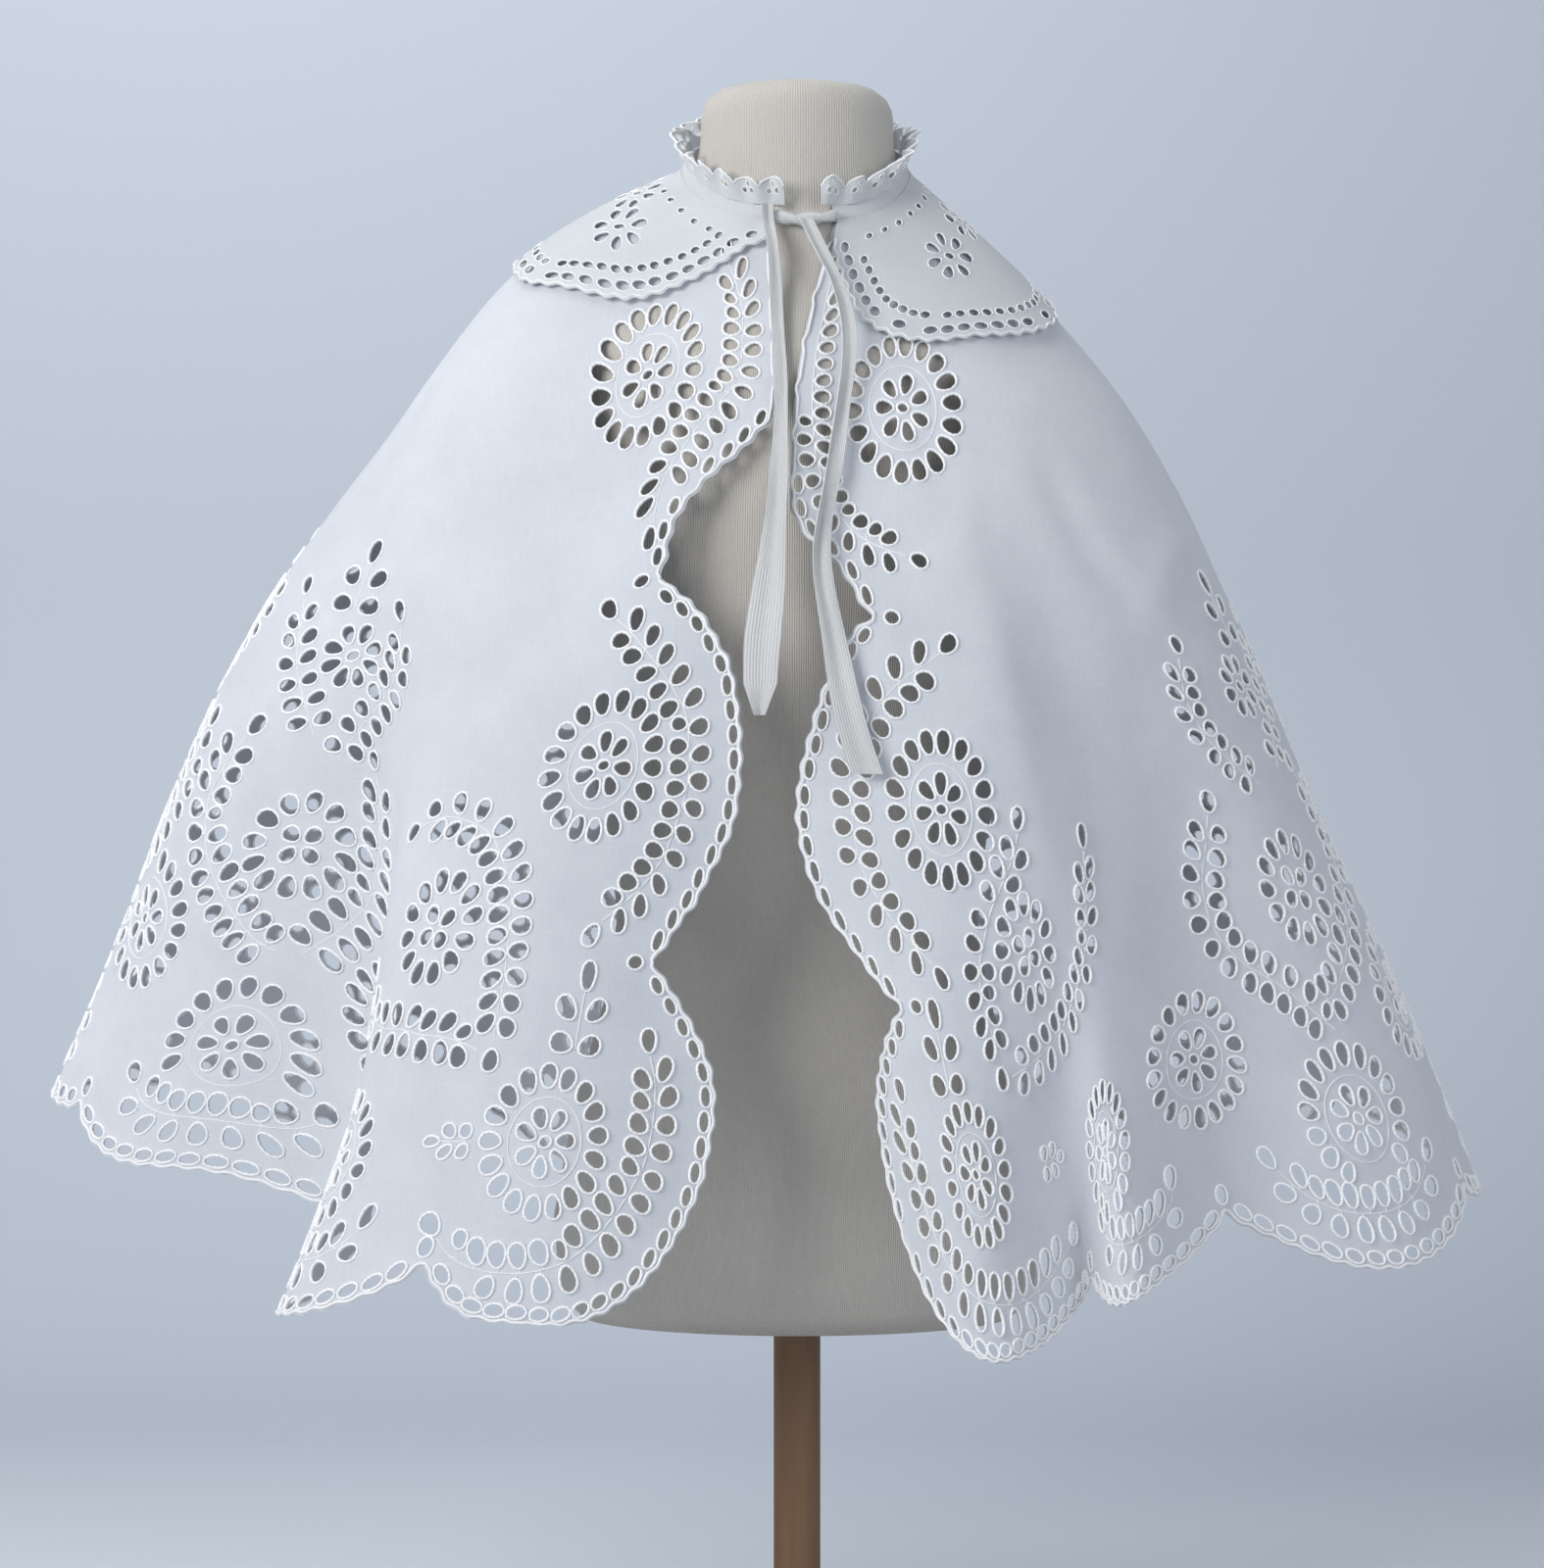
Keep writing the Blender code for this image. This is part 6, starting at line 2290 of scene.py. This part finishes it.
@dataclass
class Studio:
    """The camera, the lights, the floor and the backdrop."""

    sweep: bpy.types.Material
    camera_at: tuple[float, float, float] = (-0.0134, -2.0, 0.48)
    seen_height: float = 0.84
    world: tuple[float, float, float] = (0.62, 0.66, 0.72)
    world_strength: float = 0.38

    def lamp(self, name: str, at: tuple[float, float, float], aim: tuple[float, float, float], size: float,
             power: float, colour: tuple[float, float, float]) -> None:
        """Hang a soft lamp.

        Args:
            name: Its name.
            at: Where it is.
            aim: What it points at.
            size: Its width.
            power: Its power in watts.
            colour: Its colour.
        """
        light = bpy.data.lights.new(name, "AREA")
        light.shape = "DISK"
        light.size = size
        light.energy = power
        light.color = colour
        lamp = link(bpy.data.objects.new(name, light))
        lamp.location = at
        lamp.rotation_euler = (Vector(aim) - Vector(at)).to_track_quat("-Z", "Y").to_euler()

    def build(self) -> None:
        """Set the stage."""
        profile = [(-3.0, 0.0), (-1.0, 0.0), (0.0, 0.0), (0.6, 0.0)]
        profile += [(0.9 + 0.7 * math.sin(a), 0.7 - 0.7 * math.cos(a))
                    for a in np.linspace(0, math.pi / 2, 16)]
        profile += [(1.6, 2.2), (1.6, 3.6)]
        rows = np.array([[(x, y, z) for x in (-4.0, 0.0, 4.0)] for y, z in profile])
        floor = lofted("floor", rows, False, False)
        if floor.data.polygons[0].normal.z < 0:
            floor.data.flip_normals()
        floor.data.materials.append(self.sweep)
        self.lamp("key", (-1.8, -1.8, 1.5), (0.0, 0.0, 0.52), 1.5, 55.5, (1.0, 0.985, 0.96))
        self.lamp("fill", (1.9, -1.5, 1.2), (0.0, 0.0, 0.5), 1.8, 19.5, (0.95, 0.97, 1.0))
        self.lamp("behind", (-0.5, 0.5, 2.1), (0.1, 1.6, 0.9), 2.0, 20.0, (0.95, 0.97, 1.0))
        data = bpy.data.cameras.new("camera")
        data.sensor_fit = "VERTICAL"
        data.angle = 2 * math.atan(self.seen_height / 2 / abs(self.camera_at[1]))
        data.clip_start = 0.05
        camera = link(bpy.data.objects.new("camera", data))
        camera.location = self.camera_at
        camera.rotation_euler = (math.radians(90), 0.0, 0.0)
        bpy.context.scene.camera = camera
        world = bpy.data.worlds.new("studio")
        bpy.context.scene.world = world
        world.use_nodes = True
        sky = world.node_tree.nodes["Background"]
        sky.inputs["Color"].default_value = (*self.world, 1.0)
        sky.inputs["Strength"].default_value = self.world_strength
        bpy.context.scene.view_settings.view_transform = "Standard"
        LOG.info("studio")


def main() -> list[bpy.types.Object]:
    """Load the frame and build every piece on it.

    Returns:
        The pieces made.
    """
    logging.basicConfig(level=logging.INFO, format="%(message)s")
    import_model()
    cotton = ClothFinish("white_cotton", (0.72, 0.75, 0.80), (0.56, 0.59, 0.65)).material()
    fine = ClothFinish("fine_cotton", (0.80, 0.83, 0.84), (0.66, 0.69, 0.72), glow=0.28).material()
    thread = ThreadFinish("white_thread", (0.92, 0.93, 0.94), (0.74, 0.76, 0.80)).material()
    tape = RibFinish("cotton_tape", (0.70, 0.71, 0.72), (0.48, 0.49, 0.50), 0.0016, 0.0006).material()
    linen = RibFinish("form_cover", (0.64, 0.61, 0.57), (0.42, 0.40, 0.37), 0.0015, 0.0005, 0.92).material()
    wood = WoodFinish("pole_wood", (0.26, 0.15, 0.08), (0.12, 0.065, 0.035), (9.0, 9.0, 0.8)).material()
    base_wood = WoodFinish("base_wood", (0.26, 0.15, 0.08), (0.12, 0.065, 0.035), (0.9, 9.0, 9.0)).material()
    sweep = SweepFinish("studio_sweep", (0.66, 0.69, 0.73), (0.49, 0.53, 0.59)).material()
    drape = Drape()
    builders: list[Callable[[], list[bpy.types.Object]]] = []
    builders += [Form(drape, linen).build, Stand(wood, base_wood).build]
    for side in Side:
        builders += [CapeHalf(side, drape, cotton, thread).build, CollarHalf(side, drape, fine, thread).build]
    builders += [NeckBand(drape, fine).build, NeckFrill(drape, fine, thread).build, Knot(drape, tape).build,
                 Tape(Side.LEFT, tape).build, Tape(Side.RIGHT, tape).build]
    pieces = []
    for build in builders:
        for piece in build():
            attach(piece, "root")
            pieces.append(piece)
    Studio(sweep).build()
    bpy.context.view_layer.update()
    return pieces


if __name__ == "__main__":
    main()
